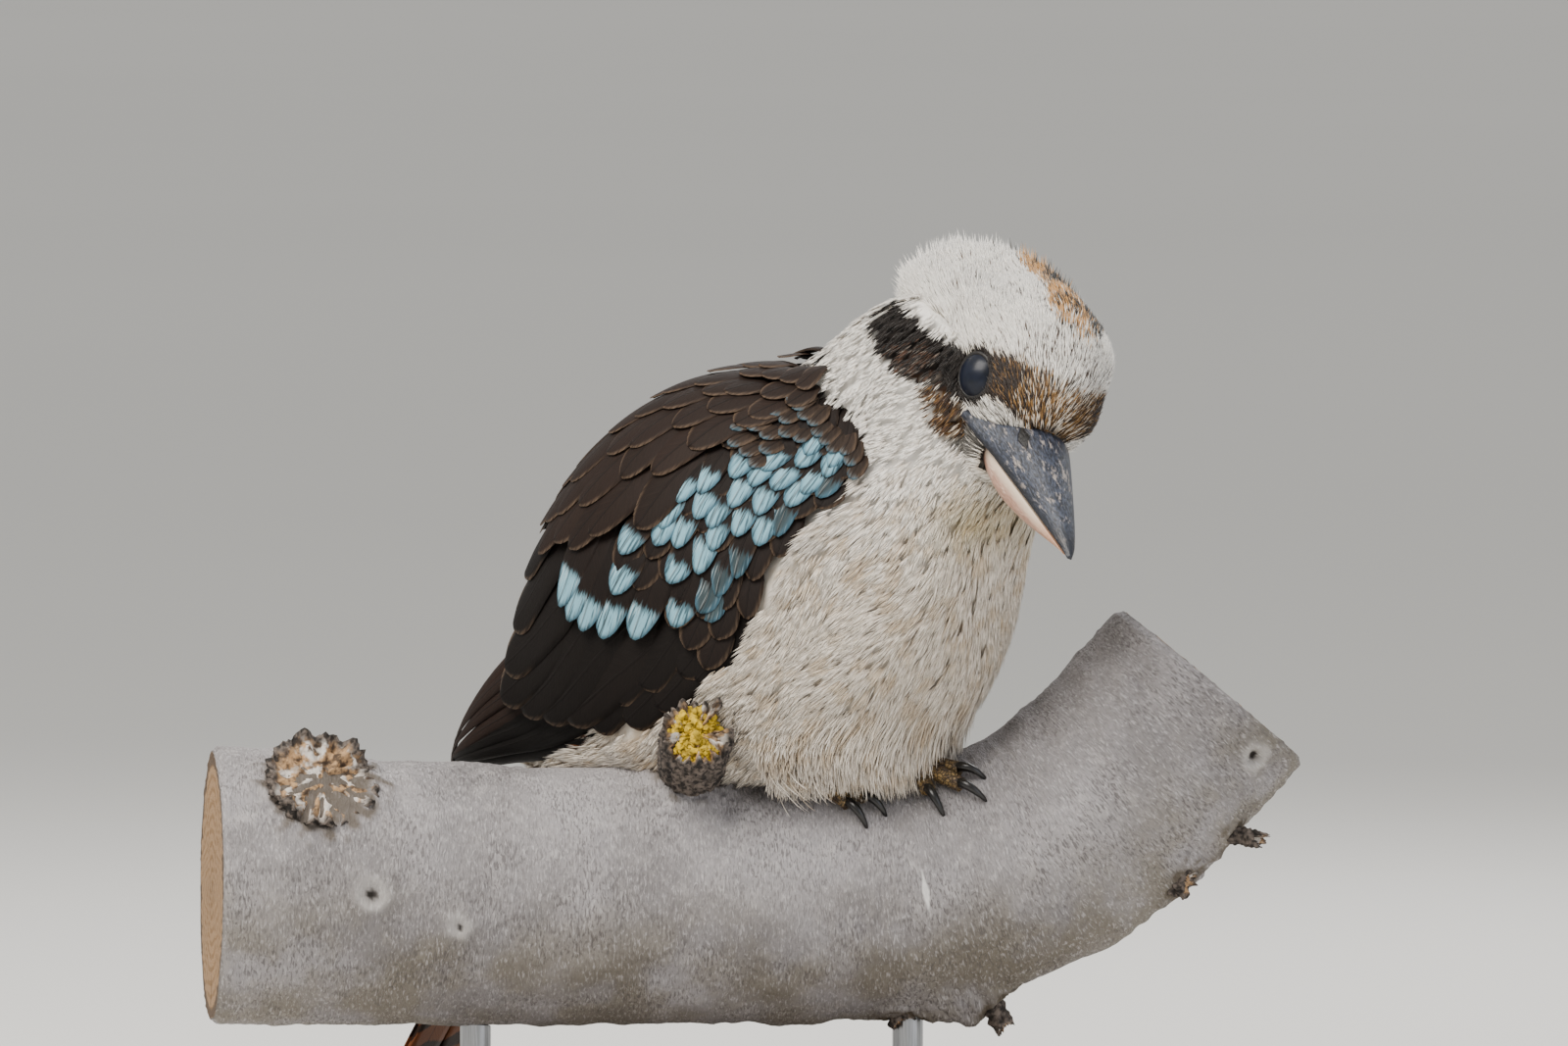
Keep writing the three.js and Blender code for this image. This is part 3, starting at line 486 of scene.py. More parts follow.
def noise(tree, place, size, detail=3.0, stretch=(1, 1, 1)):
    """Lumpy noise about size millimetres across, on places in metres, stretched along the axes."""
    return lumps(tree, stretched(tree, place, tuple(1 / (size * MM * part) for part in stretch)), detail)


def attribute(tree, name):
    return add(tree, "ShaderNodeAttribute", attribute_name=name).outputs


def bump(tree, height, depth):
    """A bump of depth millimetres."""
    return add(tree, "ShaderNodeBump", {"Height": height, "Distance": depth * MM}).outputs[0]


def object_place(tree):
    return add(tree, "ShaderNodeTexCoord").outputs["Object"]


def down_look():
    """Soft body feathers, matt with a faint sheen: each tuft's own colour, with painted shade that makes it a
    little darker near its root.
    """
    material, tree, shader = look("soft_feathers")
    tint = attribute(tree, "tint")
    # Painted shade: each tuft is a little darker near its root, where it lies among the others.
    root_shade = between(tree, tint["Alpha"], 0.0, 0.6)
    shaded = blended(tree, root_shade, paint("#e6e1da"), paint("#ffffff"))
    plug(tree, shader, {
        "Base Color": blended(tree, 1.0, tint["Color"], shaded, "MULTIPLY"),
        "Roughness": 0.8, "Sheen Weight": 0.12, "Specular IOR Level": 0.25,
    })
    return material


def vane_look(name, bars=0.0):
    """A firm feather, satin: a ground colour, a mark at its tip with painted shade towards its edges, a shaft,
    a paler worn edge and dark bars.

    Streaks are about 0.7 mm across and 11 mm long, fine barbs 0.4 mm across, and bars 15 mm apart.
    """
    material, tree, shader = look(name)
    from_tip, from_shaft, from_edge = parts_of(tree, attribute(tree, "vane")["Vector"])
    off = maths(tree, "ABSOLUTE", from_shaft)
    ground, mark = attribute(tree, "ground"), attribute(tree, "mark")
    slant = times_plus(tree, off, 1.1, from_tip)

    fan = maths(tree, "DIVIDE", from_shaft, times_plus(tree, from_tip, -0.02, 1.25))
    streak_place = joined(
        tree, times(tree, fan, 1.5), times(tree, from_tip, 0.09), times(tree, mark["Alpha"], 9.0))
    streak = lumps(tree, streak_place, 3.0)
    fine = lumps(tree, joined(tree, times(tree, slant, 2.4), times(tree, from_shaft, 0.22), 0.0), 2.0)
    lines = lumps(tree, joined(tree, times(tree, fan, 1.1), times(tree, from_tip, 0.05), 7.0), 2.0)

    mark_end = times_plus(tree, streak, 9.0, mark["Alpha"])
    marked = between(tree, maths(tree, "SUBTRACT", mark_end, maths(tree, "ADD", from_tip, 4.5)), -1.4, 1.4)
    marked = times(tree, marked, between(tree, mark["Alpha"], 0.1, 0.6))
    lit_mark = blended(tree, 0.45, mark["Color"], paint("#dfe9ea"))
    lit_mark = blended(tree, between(tree, lines, 0.5, 0.68), mark["Color"], lit_mark)
    # Painted shade: the mark darkens towards the vane's edges, where a curved feather's sides fall into shade.
    rim = times(tree, between(tree, from_edge, 2.8, 0.1), 0.85)
    lit_mark = blended(tree, rim, lit_mark, paint("#3f6272"))
    dark_lines = between(tree, streak, 0.53, 0.62)
    lit_mark = blended(tree, times(tree, dark_lines, 0.8), lit_mark, paint("#24363d"))

    pale = blended(tree, 0.5, ground["Color"], paint("#a0866f"))
    worn = times(tree, between(tree, from_edge, 1.9, 0.0), between(tree, from_tip, 16.0, 2.0))
    brown = blended(tree, times(tree, worn, between(tree, streak, 0.3, 0.62)), ground["Color"], pale)
    varied = blended(tree, fine, paint("#8f8f8f"), paint("#ffffff"))
    brown = blended(tree, 1.0, brown, varied, "MULTIPLY")
    bar_place = times_plus(tree, off, 0.25, from_tip)
    wave = maths(tree, "SINE", times_plus(tree, bar_place, 0.42, times(tree, streak, 1.2)))
    barred = times(tree, between(tree, wave, -0.1, 0.35), bars)
    brown = blended(tree, barred, brown, paint("#15100d"))

    coloured = blended(tree, marked, brown, lit_mark)
    shaft = between(tree, off, 0.42, 0.22)
    coloured = blended(tree, times(tree, shaft, 0.55), coloured, paint("#120d0b"))
    ridges = times_plus(tree, shaft, 1.5, maths(tree, "ADD", fine, streak))
    plug(tree, shader, {
        "Base Color": coloured, "Normal": bump(tree, ridges, 0.12), "Roughness": 0.65, "IOR": 1.25,
    })
    return material


def horn_look(name, dark, body, pale, share):
    """Horn: blotches 10 mm long and 2.4 mm across over streaks of 3.3 and 0.6 mm, along the bill."""
    material, tree, shader = look(name)
    fur = attribute(tree, "fur")["Vector"]
    blotch = lumps(tree, stretched(tree, fur, (0.10, 0.42, 0.42)), 5.0, Roughness=0.62)
    streak = lumps(tree, stretched(tree, fur, (0.3, 1.6, 1.6)), 3.0)
    tone = blended(tree, between(tree, streak, 0.35, 0.65), paint(dark), paint(body))
    both = times_plus(tree, streak, 0.35, blotch)
    tone = blended(tree, between(tree, both, 0.74 - share, 0.86 - share), tone, paint(pale))
    return material, tree, shader, tone, parts_of(tree, fur), maths(tree, "ADD", blotch, streak)


def upper_horn_look():
    """Satin slate horn, darker at its cutting edge and tip, with a slit of a nostril painted near black as the
    shade in its opening.
    """
    material, tree, shader, tone, place, relief = horn_look("slate_horn", "#1b1e26", "#3d4352", "#918882", 0.02)
    dark = maths(tree, "MAXIMUM", between(tree, place[1], -10.5, -13.0), between(tree, place[0], 66.0, 80.0))
    tone = blended(tree, times(tree, dark, 0.85), tone, paint("#171a22"))
    # The nostril: a slit painted near black, the painted shade of its opening, and sunk a little by the bump.
    along = maths(tree, "ABSOLUTE", times_plus(tree, place[0], 0.26, -7.4))
    nostril = maths(tree, "ADD", along, away_from(tree, times_plus(tree, place[0], 0.22, place[1]), 3.4))
    nostril = between(tree, nostril, 1.8, 1.3)
    plug(tree, shader, {
        "Base Color": blended(tree, nostril, tone, paint("#020203")),
        "Normal": bump(tree, times_plus(tree, nostril, -1.5, relief), 0.22),
        "Roughness": 0.42,
    })
    return material


def lower_horn_look():
    """Satin pinkish horn, paler up to its cutting edge, orange at its tip and dark at its root."""
    material, tree, shader, tone, place, relief = horn_look("pink_horn", "#a97f6e", "#c39c8a", "#d9bfae", 0.02)
    tone = blended(tree, between(tree, place[1], -19.0, -15.5), tone, paint("#d8c3ad"))
    tone = blended(tree, times(tree, between(tree, place[0], 55.0, 72.0), 0.6), tone, paint("#b9744a"))
    tone = blended(tree, between(tree, place[0], 24.0, 15.0), tone, paint("#4a3a33"))
    plug(tree, shader, {"Base Color": tone, "Normal": bump(tree, relief, 0.15), "Roughness": 0.45})
    return material


def eye_look():
    """A wet eye, nearly black, with clouds of slate blue 2.5 mm across in it."""
    material, tree, shader = look("wet_eye")
    cloud = noise(tree, object_place(tree), 2.5, 4)
    plug(tree, shader, {
        "Base Color": blended(tree, cloud, paint("#07090d"), paint("#1a2030")),
        "Roughness": 0.36, "Specular IOR Level": 0.2, "Coat Weight": 0.1, "Coat Roughness": 0.2,
    })
    return material


def bark_look():
    """Smooth gum bark, matt: pale grey in clouds 34 mm across, and olive and brown stains 24 mm across below.

    Flecks and wrinkles are 0.7 mm along the limb and 2.4 mm round it. Cut ends have rings 4 mm apart.
    """
    material, tree, shader = look("gum_bark")
    grain = attribute(tree, "grain")["Vector"]
    along, around, cut = parts_of(tree, grain)
    place = object_place(tree)
    cloudy = noise(tree, place, 34, 5)
    small = noise(tree, place, 6, 6)
    tone = blended(tree, between(tree, cloudy, 0.3, 0.7), paint("#7c7878"), paint("#989495"))
    tone = blended(tree, times(tree, between(tree, small, 0.52, 0.75), 0.35), tone, paint("#b7b2b0"))
    low = between(tree, maths(tree, "ABSOLUTE", around), 52.0, 92.0)
    stained = times(tree, low, between(tree, noise(tree, place, 24, 4), 0.32, 0.6))
    tone = blended(tree, times(tree, stained, 0.55), tone, paint("#5f5538"))
    flecks = lumps(tree, stretched(tree, grain, (1.5, 0.42, 1.0)), 4.0, Distortion=0.8)
    patch = between(tree, noise(tree, place, 18, 3), 0.4, 0.62)
    dark = times(tree, between(tree, flecks, 0.52, 0.62), times_plus(tree, patch, 0.42, 0.26))
    tone = blended(tree, dark, tone, paint("#4f4a4a"))
    tone = blended(tree, times(tree, between(tree, flecks, 0.45, 0.34), 0.42), tone, paint("#bfbbbb"))
    scar = maths(tree, "ADD", away_from(tree, along, 231.0), times(tree, away_from(tree, around, 63.0), 0.17))
    tone = blended(tree, between(tree, scar, 1.5, 0.7), tone, paint("#d9d6d3"))

    spots = parts_of(tree, attribute(tree, "spots")["Vector"])
    tone = blended(tree, times(tree, spots[0], 0.75), tone, paint("#c9c5c1"))
    # Painted shade in the middles of the dents.
    tone = blended(tree, spots[1], tone, paint("#1c1713"))
    tone = blended(tree, spots[2], tone, paint("#4b4030"))
    rings = maths(tree, "SINE", times_plus(tree, along, 1.5, times(tree, cloudy, 9.0)))
    wood = blended(tree, between(tree, rings, -0.2, 0.9), paint("#9c7f60"), paint("#876a4b"))
    wood = blended(tree, between(tree, along, 38.5, 40.0), wood, paint("#5a4a3c"))
    relief = times_plus(tree, flecks, -1.2, maths(tree, "ADD", small, cloudy))
    plug(tree, shader, {
        "Base Color": blended(tree, cut, tone, wood), "Normal": bump(tree, relief, 0.55),
        "Roughness": 0.85, "Specular IOR Level": 0.3,
    })
    return material


def dead_wood_look():
    """Torn dark bark, mottled 2.2 mm across, round weathered broken wood, mottled 3 and 5 mm across. Matt."""
    material, tree, shader = look("dead_wood")
    wood = parts_of(tree, attribute(tree, "grain")["Vector"])[0]
    place = object_place(tree)
    rough = noise(tree, place, 2.2, 6)
    bark = blended(tree, between(tree, rough, 0.38, 0.66), paint("#1d1815"), paint("#6d625a"))
    fresh = blended(tree, between(tree, noise(tree, place, 3, 5), 0.4, 0.6), paint("#4a3a2c"), paint("#b08d66"))
    fresh = blended(tree, between(tree, noise(tree, place, 5, 3), 0.5, 0.62), fresh, paint("#c9c2ba"))
    plug(tree, shader, {
        "Base Color": blended(tree, wood, bark, fresh), "Normal": bump(tree, rough, 1.0), "Roughness": 0.9,
    })
    return material


def scaled_look():
    """Satin skin in rows of scales about 1.6 mm long and 1.3 mm across, with dark lines between them."""
    material, tree, shader = look("scaled_skin")
    place = stretched(tree, attribute(tree, "scale")["Vector"], (0.62, 0.75, 1.0))
    cells = add(tree, "ShaderNodeTexVoronoi", {"Vector": place, "Scale": 1.0}, feature="DISTANCE_TO_EDGE")
    line = between(tree, cells.outputs["Distance"], 0.14, 0.03)
    mottle = noise(tree, object_place(tree), 3, 4)
    tone = blended(tree, between(tree, mottle, 0.35, 0.65), paint("#4b3824"), paint("#8d7347"))
    plug(tree, shader, {
        "Base Color": blended(tree, times(tree, line, 0.85), tone, paint("#1b140f")),
        "Normal": bump(tree, times(tree, line, -1.0), 0.35),
        "Roughness": 0.5,
    })
    return material


def mottled_look(name, first, second, size, roughness, depth=0.0, metallic=0.0, stretch=(1, 1, 1)):
    """A plain material with a mottle of size millimetres between two colours."""
    material, tree, shader = look(name)
    mottle = noise(tree, object_place(tree), size, 5, stretch)
    plug(tree, shader, {
        "Base Color": blended(tree, between(tree, mottle, 0.35, 0.65), paint(first), paint(second)),
        "Normal": bump(tree, mottle, depth), "Roughness": roughness, "Metallic": metallic,
    })
    return material


DOWN, VANES, TAIL_VANES = down_look(), vane_look("firm_feathers"), vane_look("barred_feathers", 0.92)
BILL_DARK, BILL_HORN = upper_horn_look(), lower_horn_look()
EYE = eye_look()
LID = mottled_look("lid_skin", "#0c0a09", "#1d1815", 1.5, 0.5, 0.3)
BARK, DEAD_WOOD = bark_look(), dead_wood_look()
FOOT = scaled_look()
CLAW_LOOK = mottled_look("black_claw", "#070606", "#14110f", 3, 0.3)
WOOD = mottled_look("dark_satin_wood", "#2c1d14", "#4a3324", 3, 0.38, 0.05, stretch=(14, 1, 1))
STEEL = mottled_look("satin_steel", "#85878a", "#9b9da0", 0.5, 0.32, 0.01, 1.0, (1, 1, 30))
LICHEN = mottled_look("yellow_lichen", "#8f7612", "#d3b122", 2.2, 0.85, 0.3)
FLOOR = mottled_look("pale_floor", "#e4e2de", "#e7e5e1", 4000, 0.9)


# Feathers

def tufts(roots, along, out, across, length, width, high, bend, rings):
    """Thin closed tufts, each a keeled blade from its root to a point.

    Every argument but rings has one row for each tuft. bend lifts the tip off the coat and sways it sideways.
    Returns the points, the faces and each point's share of the way along its tuft.
    """
    count, steps = len(roots), len(rings)
    t = np.array([*rings, 1.0])
    far = column(length)[:, None] * t[:, None]
    lift = (bend[:, :1] * t**2 + column(high) * 0.6 * np.sin(math.pi * t))[..., None]
    sway = (bend[:, 1:] * t**2)[..., None]
    middle = roots[:, None] + along[:, None] * far + out[:, None] * lift + across[:, None] * sway
    half = (column(width) / 2 * np.sin(math.pi * (0.25 + 0.6 * t[:-1])))[..., None] * across[:, None]
    keel = (column(high) * (1 - 0.5 * t[:-1]))[..., None] * out[:, None]
    body = middle[:, :-1]
    ring = np.stack([body - half, body + half, body + keel], 2).reshape(count, steps * 3, 3)
    points = np.concatenate([ring, middle[:, -1:]], 1)
    corner = np.arange(3)
    after = (corner + 1) % 3
    quads = np.concatenate([
        np.stack([corner, after, after + 3, corner + 3], -1) + 3 * step for step in range(steps - 1)])
    ends = np.concatenate([
        np.array([[2, 1, 0]]),
        np.stack([corner, after, np.full(3, 3)], -1) + 3 * (steps - 1)])
    ends[1:, 2] = 3 * steps
    start = (np.arange(count) * (steps * 3 + 1))[:, None, None]
    shares = np.tile(np.concatenate([np.repeat(t[:-1], 3), [1.0]]), count)
    return points.reshape(-1, 3), [(quads + start).reshape(-1, 4), (ends + start).reshape(-1, 3)], shares


def plates(places, out, thick, flip=False):
    """Closed thin plates over (count, along, across) grids of places, with the ways out of their faces."""
    count, rows, columns = places.shape[:3]
    half = out * np.asarray(thick)[..., None] / 2
    points = np.concatenate([(places + half).reshape(count, -1, 3), (places - half).reshape(count, -1, 3)], 1)
    layer = rows * columns
    top = grid_faces(rows, columns)
    bottom = top[:, ::-1] + layer
    index = np.arange(layer).reshape(rows, columns)
    rim = np.concatenate([index[:, 0], index[-1, 1:], index[-2::-1, -1], index[0, -2:0:-1]])
    ahead = np.roll(rim, -1)
    side = np.stack([rim, rim + layer, ahead + layer, ahead], -1)
    faces = np.concatenate([top, bottom, side])
    if flip:
        faces = faces[:, ::-1]
    start = (np.arange(count) * 2 * layer)[:, None, None]
    return points.reshape(-1, 3), (faces + start).reshape(-1, 4)


# Skin

COAT_DEPTH = {"body": 3.4, "head": 4.2}
SKIN_GRAIN = 2  # the size of the cells that melt trunk and head into one skin
WING_EDGES = np.array([
    (0.12, 0.8, 60), (0.16, 0.8, 82), (0.2, 0.8, 98), (0.25, 0.8, 100), (0.3, 0.8, 97), (0.36, 0.8, 101),
    (0.43, 0.8, 109), (0.52, 0.8, 108), (0.61, 0.8, 107), (0.7, 0.8, 109), (0.79, 1, 108), (0.88, 2, 102),
    (0.97, 5, 86), (1.0, 8, 78),
])  # share of the spine, and degrees from straight up of the wing's upper and lower edges
WING_FRONT = 0.19
WING_DEPTH = 4.8


def wing_edges(share):
    return (np.radians(np.interp(share, WING_EDGES[:, 0], WING_EDGES[:, side])) for side in (1, 2))


def past_wing(u, v):
    """Shares of the spine, and how far places lie past a wing's lower edge, in shares of its breadth."""
    share = u * TRUNK_TO
    upper, lower = wing_edges(share)
    turned = np.abs((v * TURN + math.pi) % TURN - math.pi)
    return share, (turned - upper) / (lower - upper) - 1


def under_wing(u, v):
    """How far places of the trunk are under the wings, from 0 to 1."""
    share, beyond = past_wing(u, v)
    return ease(share, WING_FRONT - 0.02, WING_FRONT + 0.03) * (1 - ease(beyond, -0.12, 0))


def closed_form(surface, depth):
    """The form under the coat, as a closed mesh."""
    points = surface.points - surface.out * column(depth)
    rows, columns = points.shape[:2]
    ends = points[[0, -1]].mean(1)
    turn = np.arange(columns)
    first = np.stack([turn, (turn + 1) % columns, np.full(columns, rows * columns)], -1)
    last = first[:, ::-1] + [1, (rows - 1) * columns, (rows - 1) * columns]
    return np.concatenate([points.reshape(-1, 3), ends]), grid_faces(rows, columns, wrap=True), first, last


def join_forms(forms):
    points, faces, base = [], [], 0
    for places, quads, first, last in forms:
        points.append(places)
        faces += [quads + base, first + base, last + base]
        base += len(places)
    return np.concatenate(points), faces


def head_depth(points):
    """How far the skin lies under the head's form: deeper behind, and round the bill's base."""
    f, u, r = np.moveaxis(to_head(points), -1, 0)
    at_bill = ease(f, -2, 6) * ease(-u, 2, 6) * ease(np.abs(r), 2, 6)
    return mix(2.0, COAT_DEPTH["head"], ease(f, -14, -38)) + 2.4 * ease(f, -46, -68) + 2.2 * at_bill


rows, columns = trunk.points.shape[:2]
u_grid, v_grid = np.meshgrid(np.linspace(0, 1, rows), np.arange(columns) / columns, indexing="ij")
trunk_depth = COAT_DEPTH["body"] + WING_DEPTH * under_wing(u_grid, v_grid)
skin_points, skin_faces = join_forms([
    closed_form(trunk, trunk_depth), closed_form(head, head_depth(head.points))])
skin_mesh = mesh_of("skin", skin_points, skin_faces)
skin = piece("skin", skin_mesh, DOWN, ["torso", "neck", "head"])
outwards(skin)
settled(
    skin,
    ("REMESH", {"mode": "VOXEL", "voxel_size": SKIN_GRAIN * MM}),
    ("SMOOTH", {"factor": 0.5, "iterations": 4}),
)


# The coat's colours, by place on the head or body, the same on both sides

MASK = [
    (-44, -5), (-42, -1), (-30.7, 0), (-20.3, 0.8), (-12.3, 2), (-8, 5), (-5, 8.5), (2, 9), (7, 4), (6, -5),
    (2, -8.5), (-4, -10), (-10, -13.5), (-22, -14), (-36, -11.5), (-43, -9),
]  # outlines in the head's frame, as places along the bill and up to the crown
MASK_FRONT = [
    (-17, 0.5), (-12, 2), (-8, 5), (2, 9), (8, 4), (6, -6), (2, -10), (-10, -14), (-24, -15), (-20, -8),
]
CHEEK_STRIPE = [(-6, -13), (-3, -9), (3, -9.5), (7, -12.5), (8.5, -17), (7, -21.5), (3, -20.5), (0, -16.5)]
BRISTLES = [(6, -11), (14, -11), (17, -13), (15, -21), (8, -21.5), (4, -18)]
BROW_BAND = [
    (1, 7.5), (5, 12), (11, 15), (19, 16), (26, 16), (30, 9), (29.5, 1), (24, -2), (18, 0.5), (9, -2),
]
LORES = [(3, -8), (9, -2), (17, 1), (24, -1), (27, -3), (22, -7), (12, -11), (4, -10)]
CROWN_PATCH = [
    (-62, 0), (-48, 2.5), (-28, 5), (-10, 7), (4, 6), (8, 0), (7, -7), (-6, -15), (-20, -24), (-62, -24),
]  # along the bill and to the bird's right, as seen from above
WHITE, CREAM, BUFF = srgb("#efebe4"), srgb("#e2d8ca"), srgb("#c2ab8c")
BLACK, UMBER, RUFOUS, TAWNY, ORANGE, GREY = (
    srgb(code) for code in ("#100d0b", "#2a1b10", "#4d3220", "#98723c", "#bb832e", "#97928a"))


def plumage(points, dice):
    """The colour of the coat at places. dice holds three random numbers for each, to choose by."""
    f, u, r = to_head(points).T
    p, q, w = to_body(points).T
    side = np.stack([f, u], -1)
    on_side = ease(np.abs(r), 5, 9)
    chance = dice[:, 0]

    low = column(ease(q, 245, 190))
    colour = mix(WHITE, CREAM, low * 0.9)
    barred = ease(ripple(points * [1, 1, 1.8], 13, 3) + 0.5 * ripple(points, 5, 4), 0.1, 1.3)
    buff = barred * ease(q, 262, 205) * 0.55 + 0.35 * (chance > 0.93) * ease(q, 275, 215)
    colour = mix(colour, BUFF, column(buff))
    stain = np.exp(-((p - 32) ** 2 + (q - 223) ** 2) / 120) * 0.6
    colour = mix(colour, srgb("#98853f"), column(stain))

    above = ease(u, 4, 10) * ease(f, -66, -46)
    flecks = above * (0.03 + 0.2 * ease(f + 0.35 * u, 6, 26) + 0.04 * ease(np.abs(r), 14, 4))
    fleck = np.where(column(dice[:, 1] < 0.55), UMBER, mix(RUFOUS, UMBER, 0.3))
    colour = np.where(column(chance < flecks), fleck, colour)

    crown = inside(np.stack([f, r], -1), CROWN_PATCH, 2.0) * ease(u, 12, 17) * mix(1, 0.55, ease(f, -6, 6))
    clumped = ease(ripple(points, 6, 25), 0.1, 0.9)
    dark = dice[:, 1] < 0.1 + 0.8 * np.maximum(clumped * 0.7, ease(r, -5, -11))
    striped = np.where(column(dark), BLACK, mix(ORANGE, CREAM, column(dice[:, 2] * 0.25)))
    colour = np.where(column(chance < crown * 0.95), striped, colour)

    brow = inside(side, BROW_BAND, 2.5) * ease(np.abs(r), -1, 1)
    near_eye = ease(np.hypot(f - 3, u - 2), 25, 13)
    colour = mix(colour, BUFF, column(brow * 0.6))
    deep = dice[:, 1] < mix(0.42, 0.85, near_eye) * mix(1, 1.4, ease(u, 4, 0))
    browed = np.where(column(deep), mix(UMBER, BLACK, column(dice[:, 2] * 0.5)),
                      mix(RUFOUS, TAWNY, column(0.2 + 0.8 * dice[:, 2])))
    colour = np.where(column(chance < brow * mix(0.76, 1.0, near_eye)), browed, colour)

    lores = inside(side, LORES, 1.2) * on_side
    rim = ease(np.interp(f, BILL_FEATHERING[:, 0], BILL_FEATHERING[:, 1]) + 2.4 - u, 0, 1) * ease(f, 15, 20)
    greyed = mix(GREY, WHITE, column(ease(dice[:, 2], 0, 0.7)))
    lored = np.where(column(dice[:, 1] < 0.1 + 0.8 * rim), BLACK, greyed)
    colour = np.where(column(chance < lores), lored, colour)
    bristly = inside(side, BRISTLES, 1.2) * on_side
    bristled = mix(mix(BLACK, GREY, 0.25), GREY, column(ease(dice[:, 1], 0.7, 1)))
    colour = np.where(column(chance < bristly * 0.92), bristled, colour)
    cheek = inside(side, CHEEK_STRIPE, 1.2) * on_side
    colour = mix(colour, BUFF, column(cheek * 0.6))
    cheeked = mix(mix(RUFOUS, TAWNY, column(dice[:, 2] * 0.6)), UMBER, column(ease(dice[:, 1], 0.3, 0.6)))
    colour = np.where(column(chance < cheek * 0.92), cheeked, colour)
    ringed = ease(off_eye_axis(np.stack([f, u, r], -1)), 10.6, 9) * on_side
    colour = np.where(column(chance < ringed), mix(BLACK, UMBER, 0.4), colour)

    covered = ease(p, -30, -40) * ease(q - 225 - 0.517 * (p - 20), 6, 12)
    rump_top = ease(np.abs(w), 30, 22) * ease(q, 147, 153)
    rump_end = ease(p, -96, -106) * ease(q, 146, 150)
    rump = ease(p, -58, -72) * np.maximum(rump_top, rump_end)
    bars = ease(np.sin(p * 0.9 + 0.6 * ripple(points, 9, 27)), -0.2, 0.5)
    colour = np.where(column(chance < covered), UMBER, colour)
    colour = np.where(column(chance < rump), mix(srgb("#6b4429"), BLACK, column(bars)), colour)
    mask = inside(side, MASK, 1.0) * on_side
    front = inside(side, MASK_FRONT, 3) * on_side * ease(-u, -2, 6) * ease(np.hypot(f, u - 1), 9, 12)
    fronted = mix(mix(RUFOUS, CREAM, column(0.6 * (dice[:, 2] > 0.8))), UMBER, column(dice[:, 2] * 0.8))
    masked = np.where(column(dice[:, 1] < front * 0.5), fronted, mix(BLACK, UMBER, 0.25))
    return np.where(column(chance < mask), masked, colour)


BODY_FEATHERS, HEAD_TUFTS = 7800, 78000  # scattered over the whole trunk and head, before any are left out
FEATHER_BARBS = 18  # barbs that make one body feather
SUNK_TOO_FAR = -4.5  # a root this far inside the other form grows nothing
PATCH = 0.003  # the breadth of one tuft's place on the map
TRUNK_CHART, HEAD_CHART = (0.01, 0.55), (0.58, 0.4)  # left edge and breadth of each form's part of the map


def chart_of(surface_left, surface_wide, u, v, shares, sides):
    """Each tuft's small patch on the map, at its root's place on its form's own chart."""
    x = surface_left + surface_wide * v[:, None] + (sides - 0.5) * PATCH
    y = 0.01 + 0.97 * u[:, None] + (shares - 0.5) * PATCH
    return np.stack([x, y], -1).reshape(-1, 2)


def grow_coat(name, chart, at, out, along, u, v, size, rings, pieces):
    """Tufts as several pieces, in order down the form.

    size has a row for each tuft: its length, width, height, lift and sway.
    """
    side = unit(np.cross(out, along))
    dice = draw.random((len(at), 3))
    middle = at + along * column(size[:, 0] * 0.5)
    colour = plumage(middle, dice) * draw.uniform(0.95, 1.04, (len(at), 1))
    order = np.array_split(np.argsort(u), pieces)
    for number, chosen in enumerate(order):
        length, width, high = size[chosen, :3].T
        places = at[chosen], along[chosen], out[chosen], side[chosen]
        points, faces, shares = tufts(*places, length, width, high, size[chosen, 3:], rings)
        each = len(rings) * 3 + 1
        tint = np.concatenate([np.repeat(colour[chosen], each, 0), shares[:, None]], 1)
        across = np.tile(np.array([0, 1, 0.5] * len(rings) + [0.5]), (len(chosen), 1))
        spread = chart_of(*chart, u[chosen], v[chosen], shares.reshape(len(chosen), each), across)
        mesh = mesh_of(f"{name}_{number + 1}", points, faces, spread, [("tint", tint)])
        piece(f"{name}_{number + 1}", mesh, DOWN)


def again(grid):
    """A value for each barb, from one for each feather."""
    return np.repeat(grid, FEATHER_BARBS, 0)


